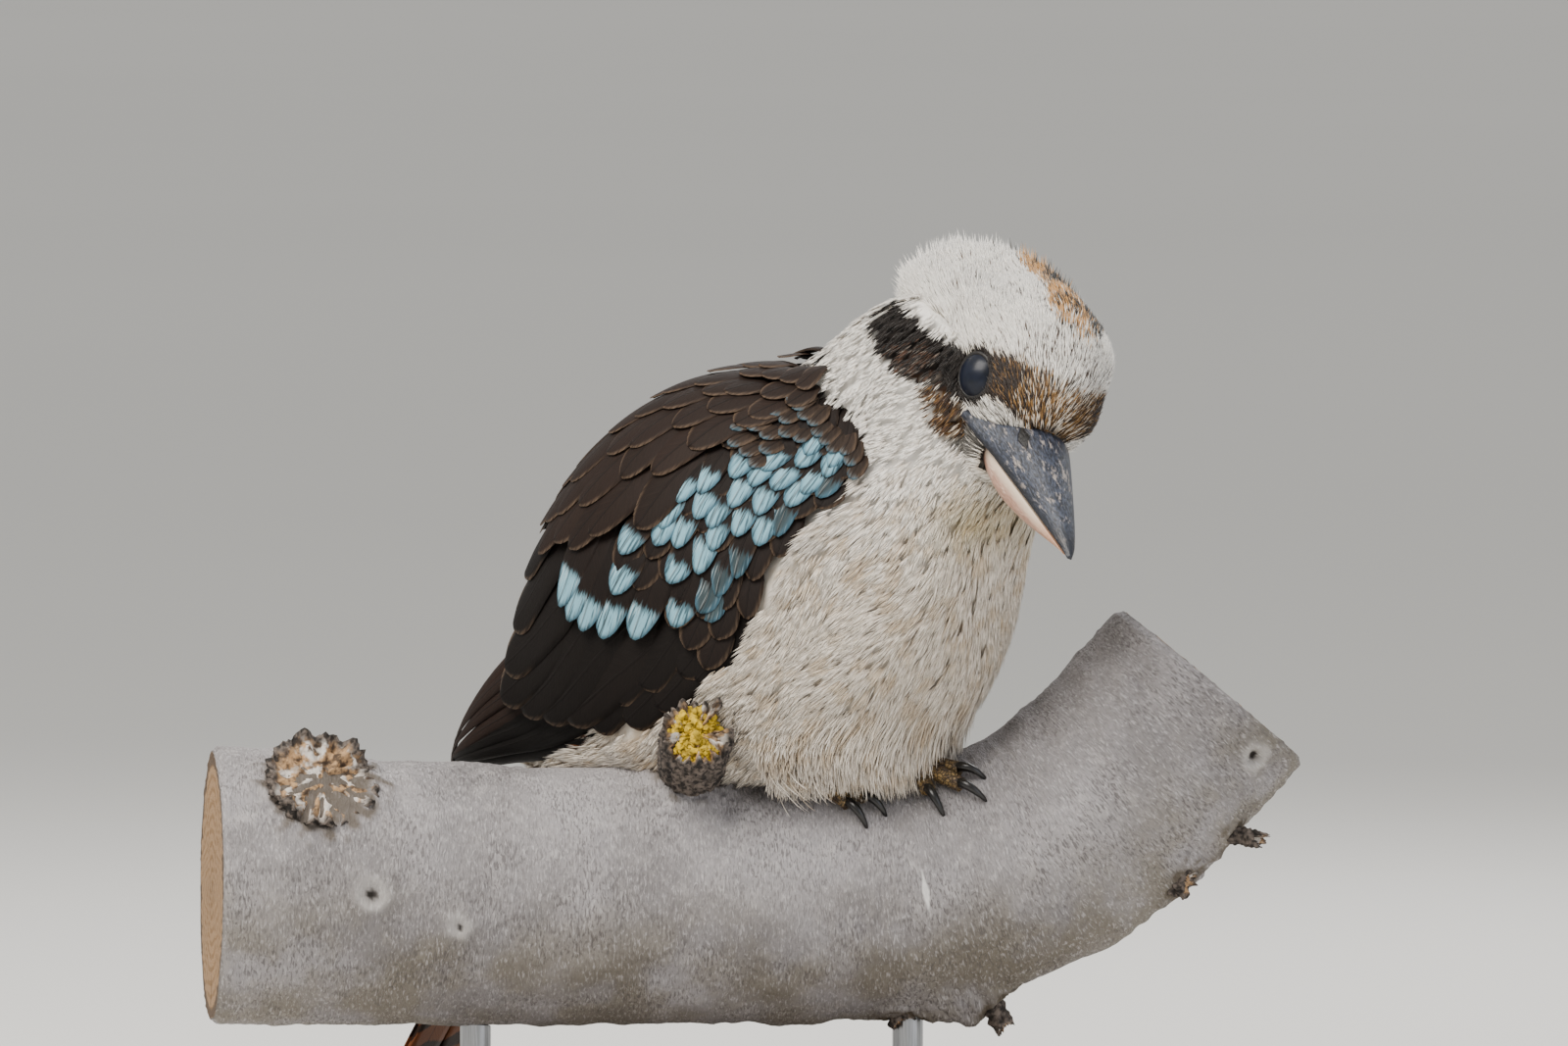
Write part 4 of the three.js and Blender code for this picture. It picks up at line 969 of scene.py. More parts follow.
def body_coat(feathers, pieces):
    """The trunk's loose feathers: each is a spray of barbs from a hidden shaft."""
    u, v = trunk.scatter(feathers)
    at, out, down, across = trunk.frame(u, v)
    share, beyond = past_wing(u, v)
    wisps = ease(share, 0.5, 0.3) * ease(share, 0.2, 0.26)
    past_edge = beyond > 0.02 * wisps - 0.12 * ease(share, 0.6, 0.68)
    kept = (past_edge | (share < WING_FRONT + 0.03)) & (head_distance(to_head(at)) > SUNK_TOO_FAR)
    u, v, at, out, down, across = (grid[kept] for grid in (u, v, at, out, down, across))
    count = len(u)
    q = to_body(at)[:, 1]
    drift = 0.17 * ripple(at, 34, 7) + 0.05 * ripple(at, 11, 8) + draw.normal(0, 0.05, count)
    shaft = unit(down + across * column(drift))
    length = mix(5.5, 9, ease(q, 262, 215)) * draw.uniform(0.8, 1.2, count)

    barbs = count * FEATHER_BARBS
    from_shaft = np.tile(np.linspace(-1, 1, FEATHER_BARBS), count) + draw.normal(0, 0.12, barbs)
    start = again(length) * 0.5 * (1 - np.abs(from_shaft)) * draw.uniform(0.6, 1.3, barbs)
    side = np.cross(again(out), again(shaft))
    roots = again(at) + again(shaft) * column(start) + side * column(from_shaft * again(length) * 0.12)
    raised = again(out) * column(draw.normal(0.06, 0.04, barbs))
    along = unit(again(shaft) + side * column(from_shaft * 0.28) + raised)
    edge = again(wisps[kept] * ease(beyond[kept], 0.12, 0.0))
    size = np.stack([
        again(length) * draw.uniform(0.55, 0.95, barbs) * (1 - 0.25 * np.abs(from_shaft)),
        draw.uniform(0.36, 0.58, barbs),
        draw.uniform(0.1, 0.17, barbs),
        draw.normal(0.12, 0.13, barbs) + 1.4 * edge,
        -from_shaft * 0.7 + draw.normal(0, 0.3, barbs),
    ], -1)
    sunk = mix(1.6, 0.4, edge) + again(WING_DEPTH * under_wing(u, v))
    grow_coat("coat_body", TRUNK_CHART, roots - again(out) * column(sunk), again(out), along,
              again(u), again(v), size, (0, 0.5), pieces)


def head_coat(count, pieces):
    u, v = head.scatter(count)
    at, out, down, across = head.frame(u, v)
    fur = to_head(at)
    rear = ease(fur[:, 0], -30, -54) * ease(fur[:, 1], -22, 8)
    to_neck = ease(trunk_distance(to_body(at)), 9, 1)
    face = ease(np.hypot(fur[:, 0] - 8, fur[:, 1] + 2), 26, 8)
    loose = (draw.random(count) < 0.05) * ease(fur[:, 0], -34, -52)
    length = mix(5.2, 2.9, face) * draw.uniform(0.75, 1.25, count)
    length = length * (1 + 0.5 * loose + 0.9 * to_neck * draw.random(count))
    drift = 0.1 * ripple(at, 22, 9) + 0.1 * ripple(at, 7, 10) + draw.normal(0, 0.07, count)
    along = unit(down + across * column(drift) + out * column(draw.normal(0.1, 0.05, count) + 0.04 * rear))
    tip = fur + (along @ HEAD_AXES.T) * column(length)
    off_eye = np.minimum(off_eye_axis(fur), off_eye_axis(tip))
    behind_bill = (fur[:, 0] < 26) | (fur[:, 1] > 0)
    in_open = (off_eye > 7.3) & behind_bill & (off_bill(fur) > 0.3)
    kept = (trunk_distance(to_body(at)) > SUNK_TOO_FAR) & in_open
    size = np.stack([
        length,
        draw.uniform(0.32, 0.52, count) * mix(1, 0.72, face),
        draw.uniform(0.12, 0.19, count) * mix(1, 0.8, face),
        draw.normal(0.15, 0.2, count) + 0.9 * rear * draw.random(count) ** 2 + 2.2 * loose,
        draw.normal(0, 0.25, count),
    ], -1)
    sunk = mix(1.5, 4.0, ease(fur[:, 0], -14, -38)) + 2.4 * ease(fur[:, 0], -46, -68)
    at = at - out * column(sunk - 1.5 * to_neck)
    grow_coat("coat_head", HEAD_CHART, at[kept], out[kept], along[kept], u[kept], v[kept], size[kept],
              (0, 0.5), pieces)


def off_eye_axis(fur):
    """How far places of the head are from the axis of the eye on their side, and far for its middle."""
    out, ahead = np.abs(fur[:, 2]) - EYE_AT[2], fur[:, 0] - EYE_AT[0]
    aside = ahead * math.cos(EYE_TURN) - out * math.sin(EYE_TURN)
    return np.hypot(aside, fur[:, 1] - EYE_AT[1]) + 9 * (out < -8)


def off_bill(fur):
    """How far places of the head lie off the bill's bare horn, in millimetres."""
    f, u, r = fur[:, 0], fur[:, 1], np.abs(fur[:, 2])
    over = u - np.interp(f, BILL_FEATHERING[:, 0], BILL_FEATHERING[:, 1])
    under = np.interp(f, [-8, 14, 20, 24], [9, 4, -1, -4]) * (u < -13)
    return np.where(u < -22, np.maximum(over, 9 - 0.5 * np.maximum(f - 8, 0)), np.maximum(over, under))


def paint_skin(mesh):
    """The skin carries the coat's markings, a little darker as painted shade under the feathers."""
    places = np.empty(len(mesh.vertices) * 3, np.float32)
    mesh.vertices.foreach_get("co", places)
    places = places.reshape(-1, 3) / MM
    dice = np.random.default_rng(5).random((len(places), 3))
    # The coat's colours at 0.95: painted shade on the skin under the feathers.
    tint = np.concatenate([plumage(places, dice) * 0.95, np.full((len(places), 1), 0.6)], 1)
    layer = mesh.attributes.new("tint", "FLOAT_COLOR", "POINT")
    layer.data.foreach_set("color", tint.astype(np.float32).ravel())


BILL_FEATHERING = np.array([
    (-9, -11.5), (4, -9.2), (9, -10.2), (13, -9.8), (19.5, -6.6), (23, -5), (26, -3.2), (28.5, 1.5), (31, 12),
])  # how far the feathers come over the bill's sides: along the bill, and up to the crown
EYE_RADIUS = 9
EYE_AT = np.array([0, 1, 16.2])
EYE_TURN = math.radians(20)  # how far each eye looks ahead of straight sideways
UPPER_BILL = [
    (3, -6.5, -12.2, 20.6), (10, -3.4, -12.6, 19.2), (18, -0.6, -13.1, 16.4), (26, 1, -13.4, 13.6),
    (36, -0.3, -13.5, 11.2), (48, -3.2, -13.6, 8.7), (60, -6.3, -13.8, 6.3), (71, -9.6, -14, 4),
    (78, -12.1, -14.4, 2.3), (82, -14.2, -15.4, 0.8),
]  # along the bill, height of the ridge, height of the cutting edge, half-width
paint_skin(skin.data)
body_coat(BODY_FEATHERS, 8)
head_coat(HEAD_TUFTS, 5)


EDGE_PLACES = 80000  # scattered over the trunk, to choose the lower edge's feathers from


def hanging(name, forward, high, count, length, sway, rings):
    """Feathers of the belly's lower edge, within ranges forward and up, that turn to hang over the perch."""
    u, v = trunk.scatter(EDGE_PLACES)
    p, q, w = to_body(trunk.frame(u, v)[0]).T
    found = (p > forward[0]) & (p < forward[1]) & (q > high[0]) & (q < high[1]) & (np.abs(w) > 3)
    found = draw.permutation(np.flatnonzero(found))[:count]
    u, v, p, q, side, count = u[found], v[found], p[found], q[found], np.sign(w[found]), len(found)
    at, out, down, _ = trunk.frame(u, v)
    falling = np.stack([np.full(count, 0.15), np.full(count, -1.0), 0.1 * side], -1) @ BODY_AXES
    along = unit(mix(down, falling, column(ease(q, 162, 145))) + draw.normal(0, 0.1, (count, 3)) + out * 0.06)
    out = unit(out - along * np.sum(out * along, -1, keepdims=True))
    fullest = 0.55 + 0.6 * np.exp(-((p - 8) / 17) ** 2)
    size = np.stack([draw.uniform(*length, count) * fullest, draw.uniform(0.34, 0.54, count),
                     draw.uniform(0.1, 0.18, count), draw.uniform(-0.3, 1.2, count),
                     draw.uniform(*sway, count) * side], -1)
    grow_coat(name, TRUNK_CHART, at - out * 1.5, out, along, u, v, size, rings, 1)


hanging("apron", (-34, 42), (136, 162), 14000, (7, 12), (-0.8, 0.8), (0, 0.4, 0.75))
hanging("plumes", (-35, -18), (137, 146), 40, (15, 24), (5, 9), (0, 0.2, 0.4, 0.6, 0.8))


# Wings

bed_shares = np.linspace(0.12, 1, 150)
bed_drops = np.linspace(-0.02, 1.1, 110)
upper, lower = wing_edges(bed_shares)
bed_angles = upper[:, None] + (lower - upper)[:, None] * bed_drops
bed_points = to_body(spine_rings(bed_distance, bed_shares, bed_angles))
bed = Surface(bed_points, wrap=False, heart=along_table(SPINE, bed_shares)[:, None])


def wing_place(share, drop, lift):
    """Places on the right wing, in the body's frame, a height over its bed, and the ways out of it."""
    u = (share - bed_shares[0]) / (bed_shares[-1] - bed_shares[0])
    v = (drop - bed_drops[0]) / (bed_drops[-1] - bed_drops[0])
    at, out = bed.read(bed.points, u, v), unit(bed.read(bed.out, u, v))
    return at + out * column(lift - WING_DEPTH), out


def vane_width(x, round_from):
    """Half-widths along a feather as shares of its widest."""
    tip = np.sqrt(np.maximum(0.02, 1 - (np.maximum(x - round_from, 0) / (1.01 - round_from)) ** 2))
    return (0.4 + 0.6 * ease(x, 0, 0.45)) * tip


def vane_facts(x, across, half, length, count, ground, mark):
    """Attributes of closed plates: millimetres from the tip, shaft and edge, and the colours."""
    shape = np.broadcast_shapes(x.shape, across.shape, length.shape)
    facts = np.broadcast_to((1 - x) * length, shape), across, np.broadcast_to(half, shape) - np.abs(across)
    vane = np.stack([np.broadcast_to(fact, shape) for fact in facts], -1).reshape(count, -1, 3)
    vane = np.concatenate([vane, vane], 1).reshape(-1, 3)
    each = len(vane) // count
    return [("vane", vane), ("ground", np.repeat(ground, each, 0)), ("mark", np.repeat(mark, each, 0))]


def plate_chart(count, x, y):
    """Each feather's own rectangle of the map, with its upper face beside its lower."""
    rows = math.ceil(math.sqrt(count))
    i, j = np.divmod(np.arange(count), rows)
    top = np.stack([y * 0.4 + 0.05, x * 0.9 + 0.05], -1).reshape(1, -1, 2)
    both = np.concatenate([top, top + [0.5, 0]], 1)
    return ((both + np.stack([j, i], -1)[:, None]) / rows).reshape(-1, 2)


class Feathers:
    """Feathers of one wing: where the tip of each lies, its turn, size and lift, and its colours."""

    def __init__(self):
        self.rows = []

    def grow(self, share, drop, turn, length, width, lift, ground="#1d1410", mark="#7fb2c6", reach=0.0):
        tone = draw.uniform(0.8, 1.2)
        turned = math.radians(turn + draw.normal(0, 2))
        self.rows.append((share, drop, turned, length * draw.uniform(0.95, 1.05), width, lift,
                          *(srgb(ground) * tone), 1, *srgb(mark), reach * draw.uniform(0.85, 1.15)))


def wing_feathers(name, rows, side, cells, round_from, held=1, replaces=()):
    """Feathers of one wing as one mesh. held is the share of each one's length that lies at its place."""
    s, v, turn, length, width, lift = (np.array(rows)[:, k][:, None, None] for k in range(6))
    colours = np.array(rows)[:, 6:]
    at = wing_place(s, v, 0 * s)[0]
    per_share = np.linalg.norm(wing_place(s - 0.02, v, 0 * s)[0] - at, axis=-1) / 0.02
    per_drop = np.linalg.norm(wing_place(s, v - 0.02, 0 * s)[0] - at, axis=-1) / 0.02
    x = np.linspace(0, 1, cells[0] + 1)[:, None] ** 0.7 * np.ones(cells[1] + 1)
    y = np.linspace(-1, 1, cells[1] + 1) * np.ones_like(x)
    half = width * vane_width(x, round_from) / 2
    across = y * half
    along = (x - held) * length
    share = s + (along * np.cos(turn) - across * np.sin(turn)) / per_share
    drop = np.clip(v + (along * np.sin(turn) + across * np.cos(turn)) / per_drop, 0, 1.02)
    high = lift - 1.3 * (1 - x) - 3.4 * (1 - x) ** 4 + 0.3 * y - 0.45 * y**2
    at, out = wing_place(share, drop, high)
    at, out = at * [1, 1, side], out * [1, 1, side]
    thick = 0.4 * (1 - 0.7 * np.abs(y) ** 3) * (1 - 0.5 * x**4) * np.ones_like(high)
    points, faces = plates(from_body(at), out @ BODY_AXES, thick, side < 0)
    facts = vane_facts(x, across, half, length, len(rows), colours[:, :4], colours[:, 4:])
    mesh = mesh_of(name, points, [faces], plate_chart(len(rows), x, y), facts)
    return piece(name, mesh, VANES, replaces)


SPANGLES = [
    (0.25, 0.72), (0.24, 0.85), (0.25, 0.87), (0.265, 0.75), (0.295, 0.68), (0.3, 0.78), (0.28, 0.87),
    (0.3, 0.88), (0.325, 0.62), (0.315, 0.7), (0.33, 0.8), (0.36, 0.58), (0.345, 0.7), (0.385, 0.54),
    (0.38, 0.63), (0.375, 0.69), (0.36, 0.79), (0.35, 0.88), (0.42, 0.55), (0.42, 0.63), (0.44, 0.57),
    (0.39, 0.74), (0.42, 0.74), (0.455, 0.69), (0.52, 0.58), (0.48, 0.51),
]  # where the blue tips of the smaller coverts lie: down the back, and from the midline to the lower edge
DULL_SPANGLES = [(0.39, 0.87), (0.42, 0.84), (0.45, 0.83), (0.33, 0.92), (0.27, 0.93)]
GREATER_TIPS = [
    (0.62, 0.46), (0.615, 0.52), (0.60, 0.58), (0.575, 0.65), (0.535, 0.73), (0.485, 0.80), (0.45, 0.87),
]
TERTIAL_TIPS = [
    (0.66, 0.08), (0.70, 0.2), (0.74, 0.32), (0.77, 0.42), (0.79, 0.52), (0.765, 0.62), (0.735, 0.70),
    (0.70, 0.77),
]
HIND_TIPS = [(0.57, 0.86), (0.62, 0.82), (0.52, 0.92), (0.67, 0.86), (0.62, 0.93), (0.57, 0.95), (0.51, 0.97)]
SPANGLE_BLUE, DULL_BLUE = "#7ba6b5", "#343f42"


def covering():
    """One wing's feathers: the primaries, then the small, the broad and the long ones that cover it."""
    primaries, small, broad, long = Feathers(), Feathers(), Feathers(), Feathers()
    for i in range(9):
        t = i / 8
        ground = "#15110f" if i < 5 else "#2e1f18"
        primaries.grow(mix(0.56, 0.69, t), mix(0.9, 0.36, t), mix(1, 2, t), mix(109, 88, t), 11,
                       0.9 + 0.2 * i, ground=ground)
    for i, (s, v) in enumerate(reversed(TERTIAL_TIPS)):
        t = i / 7
        long.grow(s, v, mix(4, 1, t), mix(74, 52, t), mix(14, 16, t), 2.9 + 0.3 * i, ground="#17110e")
    for s, v in HIND_TIPS:
        long.grow(s, v, 8, 46, 14, 2.4, ground="#17110e")
    for i, (s, v) in enumerate(reversed(GREATER_TIPS)):
        mark = SPANGLE_BLUE if i > 0 else "#3c494c"
        broad.grow(s, v, 26, 36, 14, 4.6 + 0.12 * i, mark=mark, reach=mix(6, 10.5, min(1, i / 3)))
    for row, s in enumerate(np.arange(0.24, 0.5, 0.036)):
        for v in np.arange(0.5 + 0.04 * (row % 2), 1.0, 0.085):
            lift = 5.6 - 3.2 * (s - 0.24) - 0.6 * ease(v, 0.5, 0.9)
            small.grow(s + draw.normal(0, 0.004), v, 22, 19, 12, lift)
    for s, v in sorted(DULL_SPANGLES + SPANGLES, key=lambda tip: tip[0] * -3 + tip[1]):
        back = ease(s, 0.25, 0.5)
        mark = DULL_BLUE if (s, v) in DULL_SPANGLES else SPANGLE_BLUE
        small.grow(s, v, mix(24, 18, back), 22, mix(9.4, 11.4, back),
                   6.3 - 3.2 * (s - 0.24) - 0.5 * ease(v, 0.5, 0.9), mark=mark, reach=8.0)
    for row, s in enumerate(np.arange(0.228, 0.31, 0.024)):
        for v in np.arange(0.42 + 0.03 * (row % 2), 0.98, 0.062):
            if s < 0.23 or v < 0.64:
                small.grow(s + draw.normal(0, 0.004), v, 16, 11, 7.5, 6.9 - 2 * (s - 0.2) - 0.5 * v,
                           ground="#33271f", mark="#6b635c", reach=1.3)
    for row, s in enumerate((0.235, 0.262, 0.298, 0.34, 0.39, 0.44, 0.495, 0.55, 0.6, 0.645)):
        wide = mix(9, 15.5, ease(s, 0.22, 0.42))
        top = mix(0.48, 0.3, ease(s, 0.5, 0.66))
        gap = mix(0.085, 0.125, ease(s, 0.22, 0.42))
        for v in np.arange(0.04 + gap / 2 * (row % 2), top, gap):
            broad.grow(s + draw.normal(0, 0.01), v + draw.normal(0, 0.012), mix(4, 10, v * 2),
                       mix(13, 36, ease(s, 0.2, 0.42)), wide * draw.uniform(1.05, 1.3),
                       7.6 - 3.4 * (s - 0.22) - 1.2 * v, ground="#281c16")
    return primaries, small, broad, long


for word, side in (("right", 1), ("left", -1)):
    primaries, small, broad, long = covering()
    wing_feathers(f"wing_{word}_primaries", primaries.rows, side, (24, 6), 0.86, 0, [f"wing_{word}"])
    wing_feathers(f"wing_{word}_flight", long.rows, side, (22, 6), 0.86)
    wing_feathers(f"wing_{word}_broad", broad.rows, side, (14, 8), 0.5)
    wing_feathers(f"wing_{word}_small", small.rows, side, (9, 6), 0.5)


# Tail

TAIL_ROOT = from_body(np.array([-117, 152, 0]))
TAIL_WAY = unit(np.array([-0.42, 0.36, -0.83]))
TAIL_ACROSS = unit(np.array([-0.5, -0.858, -0.119]))
TAIL_UP = np.cross(TAIL_WAY, TAIL_ACROSS)


TAIL_FEATHERS = 12
TAIL_LENGTH = 150
TAIL_VANE = 11  # half the breadth of one feather


def tail_feathers():
    off = np.arange(TAIL_FEATHERS) - (TAIL_FEATHERS - 1) / 2
    rank = np.floor(np.abs(off))
    side = np.sign(off)
    length = (TAIL_LENGTH - 0.35 * rank**2)[:, None, None]
    layer = np.where(rank == 0, np.where(side > 0, 0, -1), -1 - rank) * 1.05
    x = np.linspace(0, 1, 31)[:, None] * np.ones(7)
    y = np.linspace(-1, 1, 7) * np.ones_like(x)
    half = TAIL_VANE * vane_width(x, 0.88)
    across = y * half
    place = off[:, None, None] * 1.2 + x * length * np.sin(math.radians(0.45) * off)[:, None, None] + across
    sided = side[:, None, None]
    kept = np.where(rank[:, None, None] == 0, place, sided * np.maximum(0.2, sided * place))
    at = (TAIL_ROOT + column(x * length) * TAIL_WAY + column(kept) * TAIL_ACROSS
          + column(np.broadcast_to(layer[:, None, None], kept.shape)) * TAIL_UP)
    points, faces = plates(at, np.broadcast_to(TAIL_UP, at.shape), np.full(kept.shape, 0.45), flip=True)
    ground = np.tile([*srgb("#8a5230"), 1], (TAIL_FEATHERS, 1))
    mark = np.tile([*srgb("#e8e2d6"), 9], (TAIL_FEATHERS, 1))
    facts = vane_facts(x, across, half, length, TAIL_FEATHERS, ground, mark)
    return mesh_of("tail_feathers", points, [faces], plate_chart(TAIL_FEATHERS, x, y), facts)


piece("tail_feathers", tail_feathers(), TAIL_VANES, ["tail"])


# Bill and eyes

def closing_faces(rows, columns):
    """Faces that join the last ring of a grid to its first."""
    j = np.arange(columns)
    k = (j + 1) % columns
    last = (rows - 1) * columns
    return np.stack([last + j, j, k, last + k], -1)


LOWER_BILL = [
    (4, -23, -13.9, 12), (18, -25, -14.1, 12.6), (30, -25.4, -14.3, 11.6), (44, -23.4, -14.4, 9.2),
    (56, -20.9, -14.5, 6.9), (67, -18.3, -14.8, 4.5), (74, -16.7, -15.2, 2.6), (78, -16.1, -15.8, 1),
]


def bill_half(table, rings=60, sides=48):
    f, ridge, edge, half = (part[:, None] for part in along_table(table, np.linspace(0, 1, rings)).T)
    angle = np.arange(sides) / sides * TURN
    high = edge + (ridge - edge) * np.maximum(0, np.cos(angle))
    fur = np.stack(np.broadcast_arrays(f, high, half * np.sin(angle)), -1)
    return from_head(fur)


def horn(name, table, material, replaces):
    rings = bill_half(table)
    rows, sides = rings.shape[:2]
    fur = to_head(np.concatenate([rings.reshape(-1, 3), rings[[0, -1]].mean(1)]))
    outwards(piece(name, tube_mesh(name, [rings], [("fur", fur)]), material, [replaces]))


horn("bill_upper_horn", UPPER_BILL, BILL_DARK, "bill_upper")
horn("bill_lower_horn", LOWER_BILL, BILL_HORN, "bill_lower")


def turned_round(centre, side, profile, sides=72):
    """Closed rings about an eye's axis from a profile of (distance out along it, distance from it)."""
    turn = np.arange(sides) / sides * TURN
    out, reach = np.array(profile).T[..., None]
    across = reach * np.cos(turn)
    ahead = across * math.cos(EYE_TURN) + out * math.sin(EYE_TURN)
    aside = out * math.cos(EYE_TURN) - across * math.sin(EYE_TURN)
    fur = np.stack(np.broadcast_arrays(ahead, reach * np.sin(turn), side * aside), -1)
    return from_head(fur + centre * [1, 1, side])


def eyeball(side):
    polar = np.linspace(0.01, 0.99, 40) * math.pi
    return turned_round(EYE_AT, side, np.stack([EYE_RADIUS * np.cos(polar), EYE_RADIUS * np.sin(polar)], -1))


LIDS_OPEN = 6.7  # radius of the opening between the lids


def lids(side):
    """Bare skin round the eye: a rolled rim, and a slope from it down under the feathers."""
    open_at, ends_at = math.asin(LIDS_OPEN / EYE_RADIUS), math.radians(80)
    roll = np.linspace(0, 2.2, 8)
    rim = [(open_at + 0.10 * (1 - math.cos(a)), EYE_RADIUS - 0.2 + 0.95 * math.sin(a)) for a in roll]
    slope = [(t, EYE_RADIUS + 0.55 - 0.2 * t) for t in np.linspace(open_at + 0.2, ends_at, 8)]
    under = [(t, EYE_RADIUS - 0.4) for t in np.linspace(ends_at, open_at, 6)]
    profile = [(reach * math.cos(t), reach * math.sin(t)) for t, reach in rim + slope + under]
    rings = turned_round(EYE_AT, side, profile)
    return np.concatenate([rings, rings[:1]])


for word, side in (("right", 1), ("left", -1)):
    ball = tube_mesh("eye", [eyeball(side)])
    outwards(piece(f"eye_{word}_ball", ball, EYE, [f"eye_{word}"]))
    rings = lids(side)
    rows, columns = len(rings) - 1, rings.shape[1]
    faces = np.concatenate([grid_faces(rows, columns, wrap=True), closing_faces(rows, columns)])
    ring_mesh = mesh_of("lids", rings[:-1].reshape(-1, 3), [faces])
    outwards(piece(f"lids_{word}", ring_mesh, LID))


# Branch

BRANCH = [
    (-169, -21, 103.4, 44.5), (-127, -16, 102.7, 43.3), (-80, -10, 100.1, 42.3), (-16, -5, 99.7, 41.7),
    (32, -1, 100.1, 41.2), (64, 0, 103.2, 40.4), (96, 1, 113.7, 39.6), (121, 3, 131.7, 39.2),
    (142, 5, 153.7, 39), (154, 6, 167.9, 39),
]  # places of its heart, and its radius


def branch_frame(share):
    place = along_table(BRANCH, share)
    ahead = along_table(BRANCH, np.minimum(np.atleast_1d(share) + 0.01, 1))
    behind = along_table(BRANCH, np.maximum(np.atleast_1d(share) - 0.01, 0))
    along = unit((ahead - behind)[:, :3])
    front = unit(np.array([0, -1, 0]) + along * along[:, 1:2])
    up = np.cross(front, along)
    return place[:, :3], along, front, np.where(up[:, 2:] < 0, -up, up), place[:, 3]


def branch_share(x):
    shares = np.linspace(0, 1, 2001)
    return np.interp(x, along_table(BRANCH, shares)[:, 0], shares)


def branch_point(share, angle, over):
    """Places on or over the branch's skin; the angle runs from its top towards the viewer."""
    at, along, front, up, radius = branch_frame(share)
    return at + (up * column(np.cos(angle)) + front * column(np.sin(angle))) * column(radius + over)


STUBS = [
    ("lichen_stub", -15.5, 18, 62, (10.5, 11.6), 32, 0.0, 1.1, 0.0),
    ("broken_stub", -137, 36, 52, (17, 18), 3, 0.1, 1.8, 0),
    ("twig_stub", 133, 158, 150, (3.4, 2.6), 11, 0.55, 0.8, 0),
    ("twig_bark", 121, 158, 160, (6.5, 5.5), 1.5, 0.6, 1.0, 0),
    ("knot_tip", 72, 171, 178, (4.5, 3.2), 11, 0.25, 0.7, 0),
    ("bark_flake", 50, 172, 175, (5, 4), 2.5, 0.3, 1.0, 0),
]  # name; x; degrees of its foot and way; radii; length; lean along x; how torn its rim is; slant of its face
SWELLINGS = [
    (-15, 20, 19, 3, 0), (-139, 33, 24, 3.5, 0), (66, 171, 17, 8.0, 0), (-110, 62, 20, 2.2, 0),
    (-150, 75, 18, 2.5, 0),
    (148, 130, 4, -1.8, 4.5), (-122, 88, 7, -1.0, 5), (-93, 100, 4, -0.6, 3), (60, 65, 26, 0.8, 0),
    (-60, 80, 30, 1.0, 0),
]  # lumps and dents of the bark: x, degrees from the top towards the viewer, reach, height and rim


def bark_relief(points, along_mm, round_mm):
    """How high the bark stands at places, and how pale, dark and stained it is there: the dark is painted shade
    in the dents' hollows.
    """
    high = 0.55 * ripple(points, 46, 11) + 0.28 * ripple(points, 15, 12)
    wrinkled = ease(ripple(points, 60, 13), -0.3, 1)
    high += 0.16 * wrinkled * ripple(np.stack([along_mm, round_mm * 0.25, 0 * round_mm], -1), 4, 14)
    high += 0.09 * ripple(np.stack([along_mm * 0.6, round_mm, 0 * round_mm], -1), 2.6, 15)
    spots = np.zeros((len(points), 3))
    for x, degrees, reach, height, rim in SWELLINGS:
        centre = branch_point(branch_share(x), np.radians(np.array([degrees])), 0)
        far = np.linalg.norm(points - centre, axis=-1) * (1 + 0.05 * ripple(points, 5, 22))
        high += height * np.exp(-(far / reach * 1.6) ** 2)
        if rim:
            high += 0.7 * np.exp(-((far - rim) / 1.8) ** 2)
            pale = 0.6 * np.exp(-((far - rim * 0.8) / 2) ** 2)
            # The middle of a dent is dark: painted shade in its hollow.
            spots += np.stack([pale, ease(far, 0.4 * rim, 0.24 * rim), 0 * far], -1)
    for _, x, degrees, _, radii, *_ in STUBS:
        centre = branch_point(branch_share(x), np.radians(np.array([degrees])), 0)
        far = np.linalg.norm(points - centre, axis=-1) + 2 * ripple(points, 6, 23)
        spots[:, 2] = np.maximum(spots[:, 2], 0.75 * ease(far, radii[0] + 5, radii[0]))
        high += 1.3 * np.exp(-((far - radii[0] - 2) / 3.5) ** 2)
    return high, np.clip(spots, 0, 1)


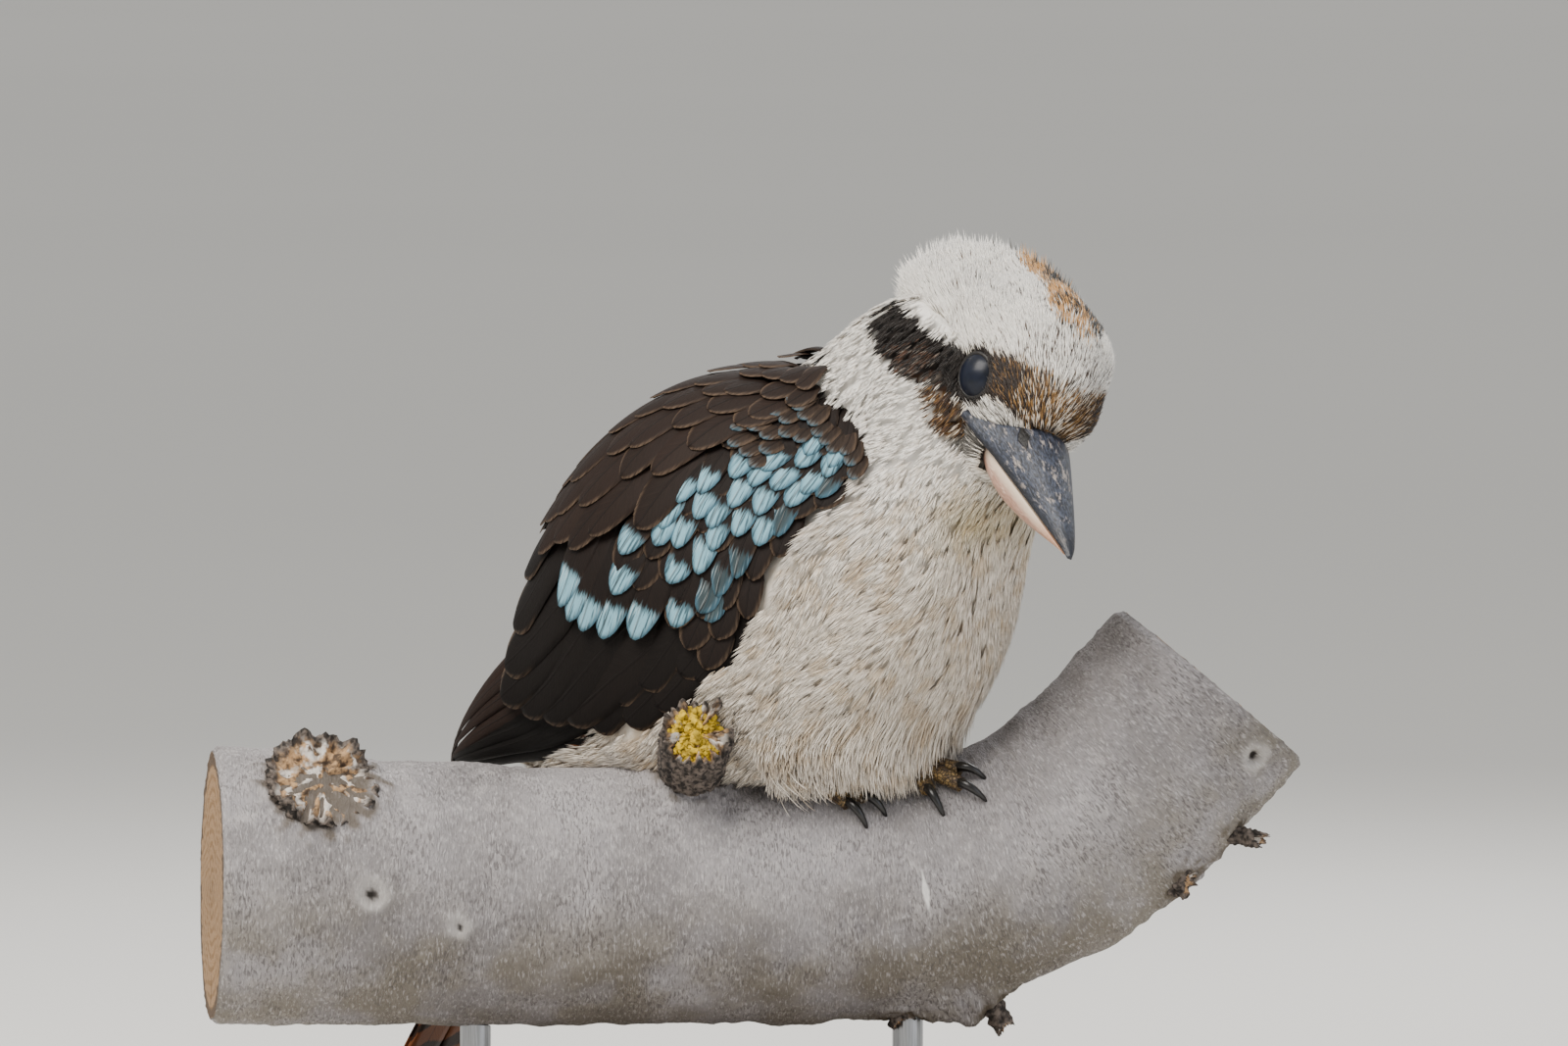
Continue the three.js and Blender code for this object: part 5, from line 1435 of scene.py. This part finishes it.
def limb(rings=340, sides=264, end_rings=12):
    """The branch's skin and its two cut ends, as one closed grid with facts about each place."""
    share, angle = np.meshgrid(np.linspace(0, 1, rings), np.arange(sides) / sides * TURN, indexing="ij")
    flat_share, flat_angle = share.ravel(), angle.ravel()
    smooth = branch_point(flat_share, flat_angle, 0)
    radius = along_table(BRANCH, flat_share)[:, 3]
    heart_line = along_table(BRANCH, share[:, 0])[:, :3]
    run = np.concatenate([[0], np.cumsum(np.linalg.norm(np.diff(heart_line, axis=0), axis=1))])
    along_mm = np.repeat(run, sides)
    turned = (flat_angle + math.pi) % TURN - math.pi
    high, spots = bark_relief(smooth, along_mm, turned * radius)
    high -= 0.35
    high -= 1.6 * ease(np.minimum(along_mm, run[-1] - along_mm), 2.2, 0)
    skin_places = branch_point(flat_share, flat_angle, high).reshape(rings, sides, 3)
    facts = np.stack([along_mm, turned * radius, 0 * turned], -1).reshape(rings, sides, 3)
    caps, cap_facts = [], []
    for end in (0, -1):
        heart = along_table(BRANCH, -float(end))[0, :3]
        inwards = np.linspace(0.985, 0.02, end_rings)[:, None, None]
        flat = heart + (skin_places[end] - heart) * inwards
        caps.append(flat + ripple(flat, 3, 16)[..., None] * branch_frame(-float(end))[1] * 0.15)
        across = np.linalg.norm(skin_places[end] - heart, axis=-1) * inwards[..., 0]
        around = np.broadcast_to(facts[end][:, 1], across.shape)
        cap_facts.append(np.stack([across, around, 1 + 0 * across], -1))
    grid = np.concatenate([caps[0][::-1], skin_places, caps[1]])
    facts = np.concatenate([cap_facts[0][::-1], facts, cap_facts[1]])
    facts = np.concatenate([facts.reshape(-1, 3), facts[[0, -1], 0]])
    bare = np.zeros((end_rings * sides, 3))
    spots = np.concatenate([bare, spots, bare, np.zeros((2, 3))])
    return tube_mesh("branch", [grid], [("grain", facts), ("spots", spots)])


outwards(piece("branch", limb(), BARK, ["perch"]))

STUB_SINK = 9  # how deep a stub's foot is in the branch
LICHEN_REACH = 9.6  # radius of the patch of lichen
LICHEN_LOBES = 620


def stub(x, foot, way, radii, length, lean, torn, slant, rings=34, sides=90):
    """A dead stub: torn bark round broken wood, with the share of each place that is wood."""
    at, along, front, up, _ = (part[0] for part in branch_frame(branch_share(x)))
    aim = unit(up * math.cos(math.radians(way)) + front * math.sin(math.radians(way)) + along * lean)
    side = unit(np.cross(aim, front))
    other = np.cross(aim, side)
    foot_at = branch_point(branch_share(x), np.radians(np.array([foot])), 0)[0] - aim * STUB_SINK
    angle = np.arange(sides) / sides * TURN
    round_way = side * column(np.cos(angle)) + other * column(np.sin(angle))
    t = np.linspace(0, 1, rings)[:, None]
    whole = length + STUB_SINK
    rim = 1 + torn * 0.06 * ripple(round_way * 10, 9, 17) + torn * 0.05 * ripple(round_way * 10, 3, 18)
    radius = mix(radii[0], radii[1], t)
    tilt = unit(front - aim * (aim @ front))
    far = t * whole * mix(1, rim, t**2) - slant * radius * (round_way @ tilt) * t**2
    sides_at = foot_at + aim * column(far) + round_way * column(radius * np.ones(sides))
    furrow = ripple(sides_at, 3.2, 19) * 0.5 + ripple(sides_at * [1, 1, 0.35], 1.6, 20) * 0.5
    sides_at += round_way * column(torn * 0.55 * furrow * ease(t, 0.2, 0.5))
    inwards = np.linspace(0.93, 0.03, 12)[:, None]
    rough = ripple(round_way * 10 * inwards[..., None], 2.2, 21)
    hollow = -torn * 1.2 * ease(inwards, 1.0, 0.7) + torn * 0.4 * rough
    middle = sides_at[-1].mean(0)
    facing = unit(aim + tilt * slant)
    face = middle + (sides_at[-1] - middle) * inwards[..., None] + facing * column(hollow)
    wood = np.concatenate([np.zeros((rings, sides)), np.broadcast_to(ease(inwards, 0.95, 0.75), (12, sides))])
    grid = np.concatenate([sides_at, face])
    facts = np.stack([wood, np.broadcast_to(np.concatenate([t, 1 + 0 * inwards]), wood.shape), 0 * wood], -1)
    return grid, np.concatenate([facts.reshape(-1, 3), [[0, 0, 0], [1, 1, 0]]]), facing, middle


def lobes(middle, aim, count, sides=10):
    """Leafy lobes of lichen heaped over a stub's face."""
    side = unit(np.cross(aim, [1, 0, 0]))
    other = np.cross(aim, side)
    reach, turn = LICHEN_REACH * np.sqrt(draw.random(count)), draw.random(count) * TURN
    at = middle + other * column(reach * np.cos(turn) * 0.9) + side * column(reach * np.sin(turn))
    at = at + aim * column(draw.uniform(-1.6, 0.6, count) + 1.0 * ripple(at, 4, 24) - 0.02 * reach**2)
    up = unit(aim + draw.normal(0, 0.35, (count, 3)))
    first = unit(np.cross(up, draw.normal(size=(count, 3))))
    second = np.cross(up, first)
    angle = np.arange(sides) / sides * TURN
    wavy = 1 + 0.28 * np.sin(angle * 5 + draw.uniform(0, TURN, (count, 1)))
    wavy = wavy + draw.normal(0, 0.1, (count, sides))
    size = draw.uniform(0.55, 1.25, (count, 1)) * wavy
    grids = []
    for share, high in ((0.5, -0.25), (1.0, -0.05), (1.02, 0.2), (0.6, 0.3)):
        flat = first[:, None] * (np.cos(angle) * size * share)[..., None]
        flat = flat + second[:, None] * (np.sin(angle) * size * share)[..., None]
        grids.append(at[:, None] + flat + up[:, None] * high)
    return tube_mesh("lichen", list(np.stack(grids, 1)))


for name, *shape in STUBS:
    grid, facts, aim, middle = stub(*shape)
    outwards(piece(name, tube_mesh(name, [grid], [("grain", facts)]), DEAD_WOOD))
    if name == "lichen_stub":
        outwards(piece("lichen", lobes(middle, aim, LICHEN_LOBES), LICHEN))


# Feet

TOES = {"inner": (-26, 19), "middle": (-1, 27), "outer": (13, 24), "hind": (176, 16)}
TOE_RADIUS = 3.1
CLAW_RADIUS = 1.6
CLAW_LENGTH = 13.5
CLAW_TAPER = ([-0.15, 0.2, 0.5, 0.8, 1], [1.1, 1, 0.75, 0.45, 0.12])  # shares of its length and of its radius
FOOT_SIDES = 20


def swept(middle, radius, sides=FOOT_SIDES):
    """A round tube along places, with a radius at each."""
    along = unit(np.gradient(middle, axis=0))
    side = unit(np.array([0, 0, 1]) - along * along[:, 2:])
    other = np.cross(along, side)
    angle = np.arange(sides) / sides * TURN
    ways = side[:, None] * np.cos(angle)[:, None] + other[:, None] * np.sin(angle)[:, None]
    return middle[:, None] + ways * column(radius)[:, None]


def scale_facts(toes):
    """Where each place of a foot is on its own skin: along its toe, round it, and a number for each toe."""
    facts = []
    for number, toe in enumerate(toes):
        along = np.repeat(np.arange(len(toe)), FOOT_SIDES) * 0.7
        around = np.tile(np.arange(FOOT_SIDES), len(toe)) * 0.9
        fact = np.stack([along, around, np.full(len(along), number * 50)], -1)
        facts += [fact, fact[[0, -1]]]
    return np.concatenate(facts)


def perched(x, angle, far, over, heading):
    """Places over the branch, far from a foot's own place and in a heading from it."""
    girth = branch_frame(branch_share(x))[4][0]
    share = branch_share(x + far * math.cos(heading))
    return branch_point(share, math.radians(angle) + far * math.sin(heading) / girth, over)


for word, x, angle, side, foot_turn in (("right", 21, 20, 1, 37), ("left", 63, 17, -1, 45)):
    toes, claws = [], []
    for turn, length in TOES.values():
        heading = math.radians(foot_turn + side * turn)
        t = np.linspace(0, 1, 40)
        middle = perched(x, angle, t * length, TOE_RADIUS * mix(1.15, 0.95, t), heading)
        toes.append(swept(middle, TOE_RADIUS * mix(1.1, 0.8, t)))
        low, top = math.radians(-22), math.radians(84)
        arc = CLAW_LENGTH / (top - low)
        t = np.linspace(-0.15, 1, 24)
        bend = mix(low, top, t)
        far = length + arc * (np.sin(bend) - math.sin(low))
        over = TOE_RADIUS + 0.8 + arc * (np.cos(bend) - math.cos(low))
        claws.append(swept(perched(x, angle, far, over, heading), CLAW_RADIUS * np.interp(t, *CLAW_TAPER)))
    ankle = perched(x, angle, np.zeros(1), TOE_RADIUS * 1.15, 0)[0]
    knee = ankle + np.array([-7, 20, 0]) @ BODY_AXES
    t = np.linspace(0, 1, 20)
    toes.append(swept(mix(ankle, knee, column(t)), np.interp(t, [0, 0.5, 1], [4, 3.4, 4.4])))
    foot = tube_mesh("foot", toes, [("scale", scale_facts(toes))])
    outwards(piece(f"foot_{word}", foot, FOOT, [f"leg_{word}"]))
    outwards(piece(f"claws_{word}", tube_mesh("claws", claws), CLAW_LOOK))


# Stand

for name, material in (("stand_base", WOOD), ("stand_rod_left", STEEL), ("stand_rod_right", STEEL)):
    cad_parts[name].data.materials.clear()
    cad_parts[name].data.materials.append(material)


# Floor, light and camera

FLOOR_RADIUS = 30000
SENSOR_WIDTH = 36


def floor(sides=96):
    angle = np.arange(sides) / sides * TURN
    rim = np.stack([np.cos(angle), np.sin(angle), 0 * angle], -1) * FLOOR_RADIUS
    mesh = mesh_of("floor", rim, [np.arange(sides)[None]])
    obj = bpy.data.objects.new("floor", mesh)
    bpy.context.scene.collection.objects.link(obj)
    mesh.materials.append(FLOOR)


def area_light(name, way, away, size, power, colour):
    lamp = bpy.data.lights.new(name, "AREA")
    lamp.size = size * MM
    lamp.energy = power
    lamp.color = srgb(colour)
    obj = bpy.data.objects.new(name, lamp)
    aim = unit(np.array(way, float))
    obj.location = Vector((TARGET + aim * away) * MM)
    obj.rotation_euler = Vector(aim).to_track_quat("Z", "Y").to_euler()
    bpy.context.scene.collection.objects.link(obj)


floor()
area_light("key", (-0.5, -0.55, 1.0), 1500, 1000, 40, "#fffaf2")
area_light("fill", (0.9, -0.9, 0.35), 1800, 1500, 10, "#eef3ff")
area_light("back", (0.3, 1.0, 0.8), 1600, 1000, 14, "#ffffff")
world = bpy.context.scene.world or bpy.data.worlds.new("world")
bpy.context.scene.world = world
world.use_nodes = True
world.node_tree.nodes["Background"].inputs["Color"].default_value = paint("#dcdcda")
world.node_tree.nodes["Background"].inputs["Strength"].default_value = 0.85

lens = bpy.data.cameras.new("camera")
lens.sensor_width = SENSOR_WIDTH
lens.lens = SENSOR_WIDTH * CAMERA_AWAY / (PHOTO[0] / PX_PER_MM)
lens.clip_end = 60
camera = bpy.data.objects.new("camera", lens)
camera.location = Vector((TARGET + TO_CAMERA * CAMERA_AWAY) * MM)
camera.rotation_euler = Vector(TO_CAMERA).to_track_quat("Z", "Y").to_euler()
bpy.context.scene.collection.objects.link(camera)
bpy.context.scene.camera = camera
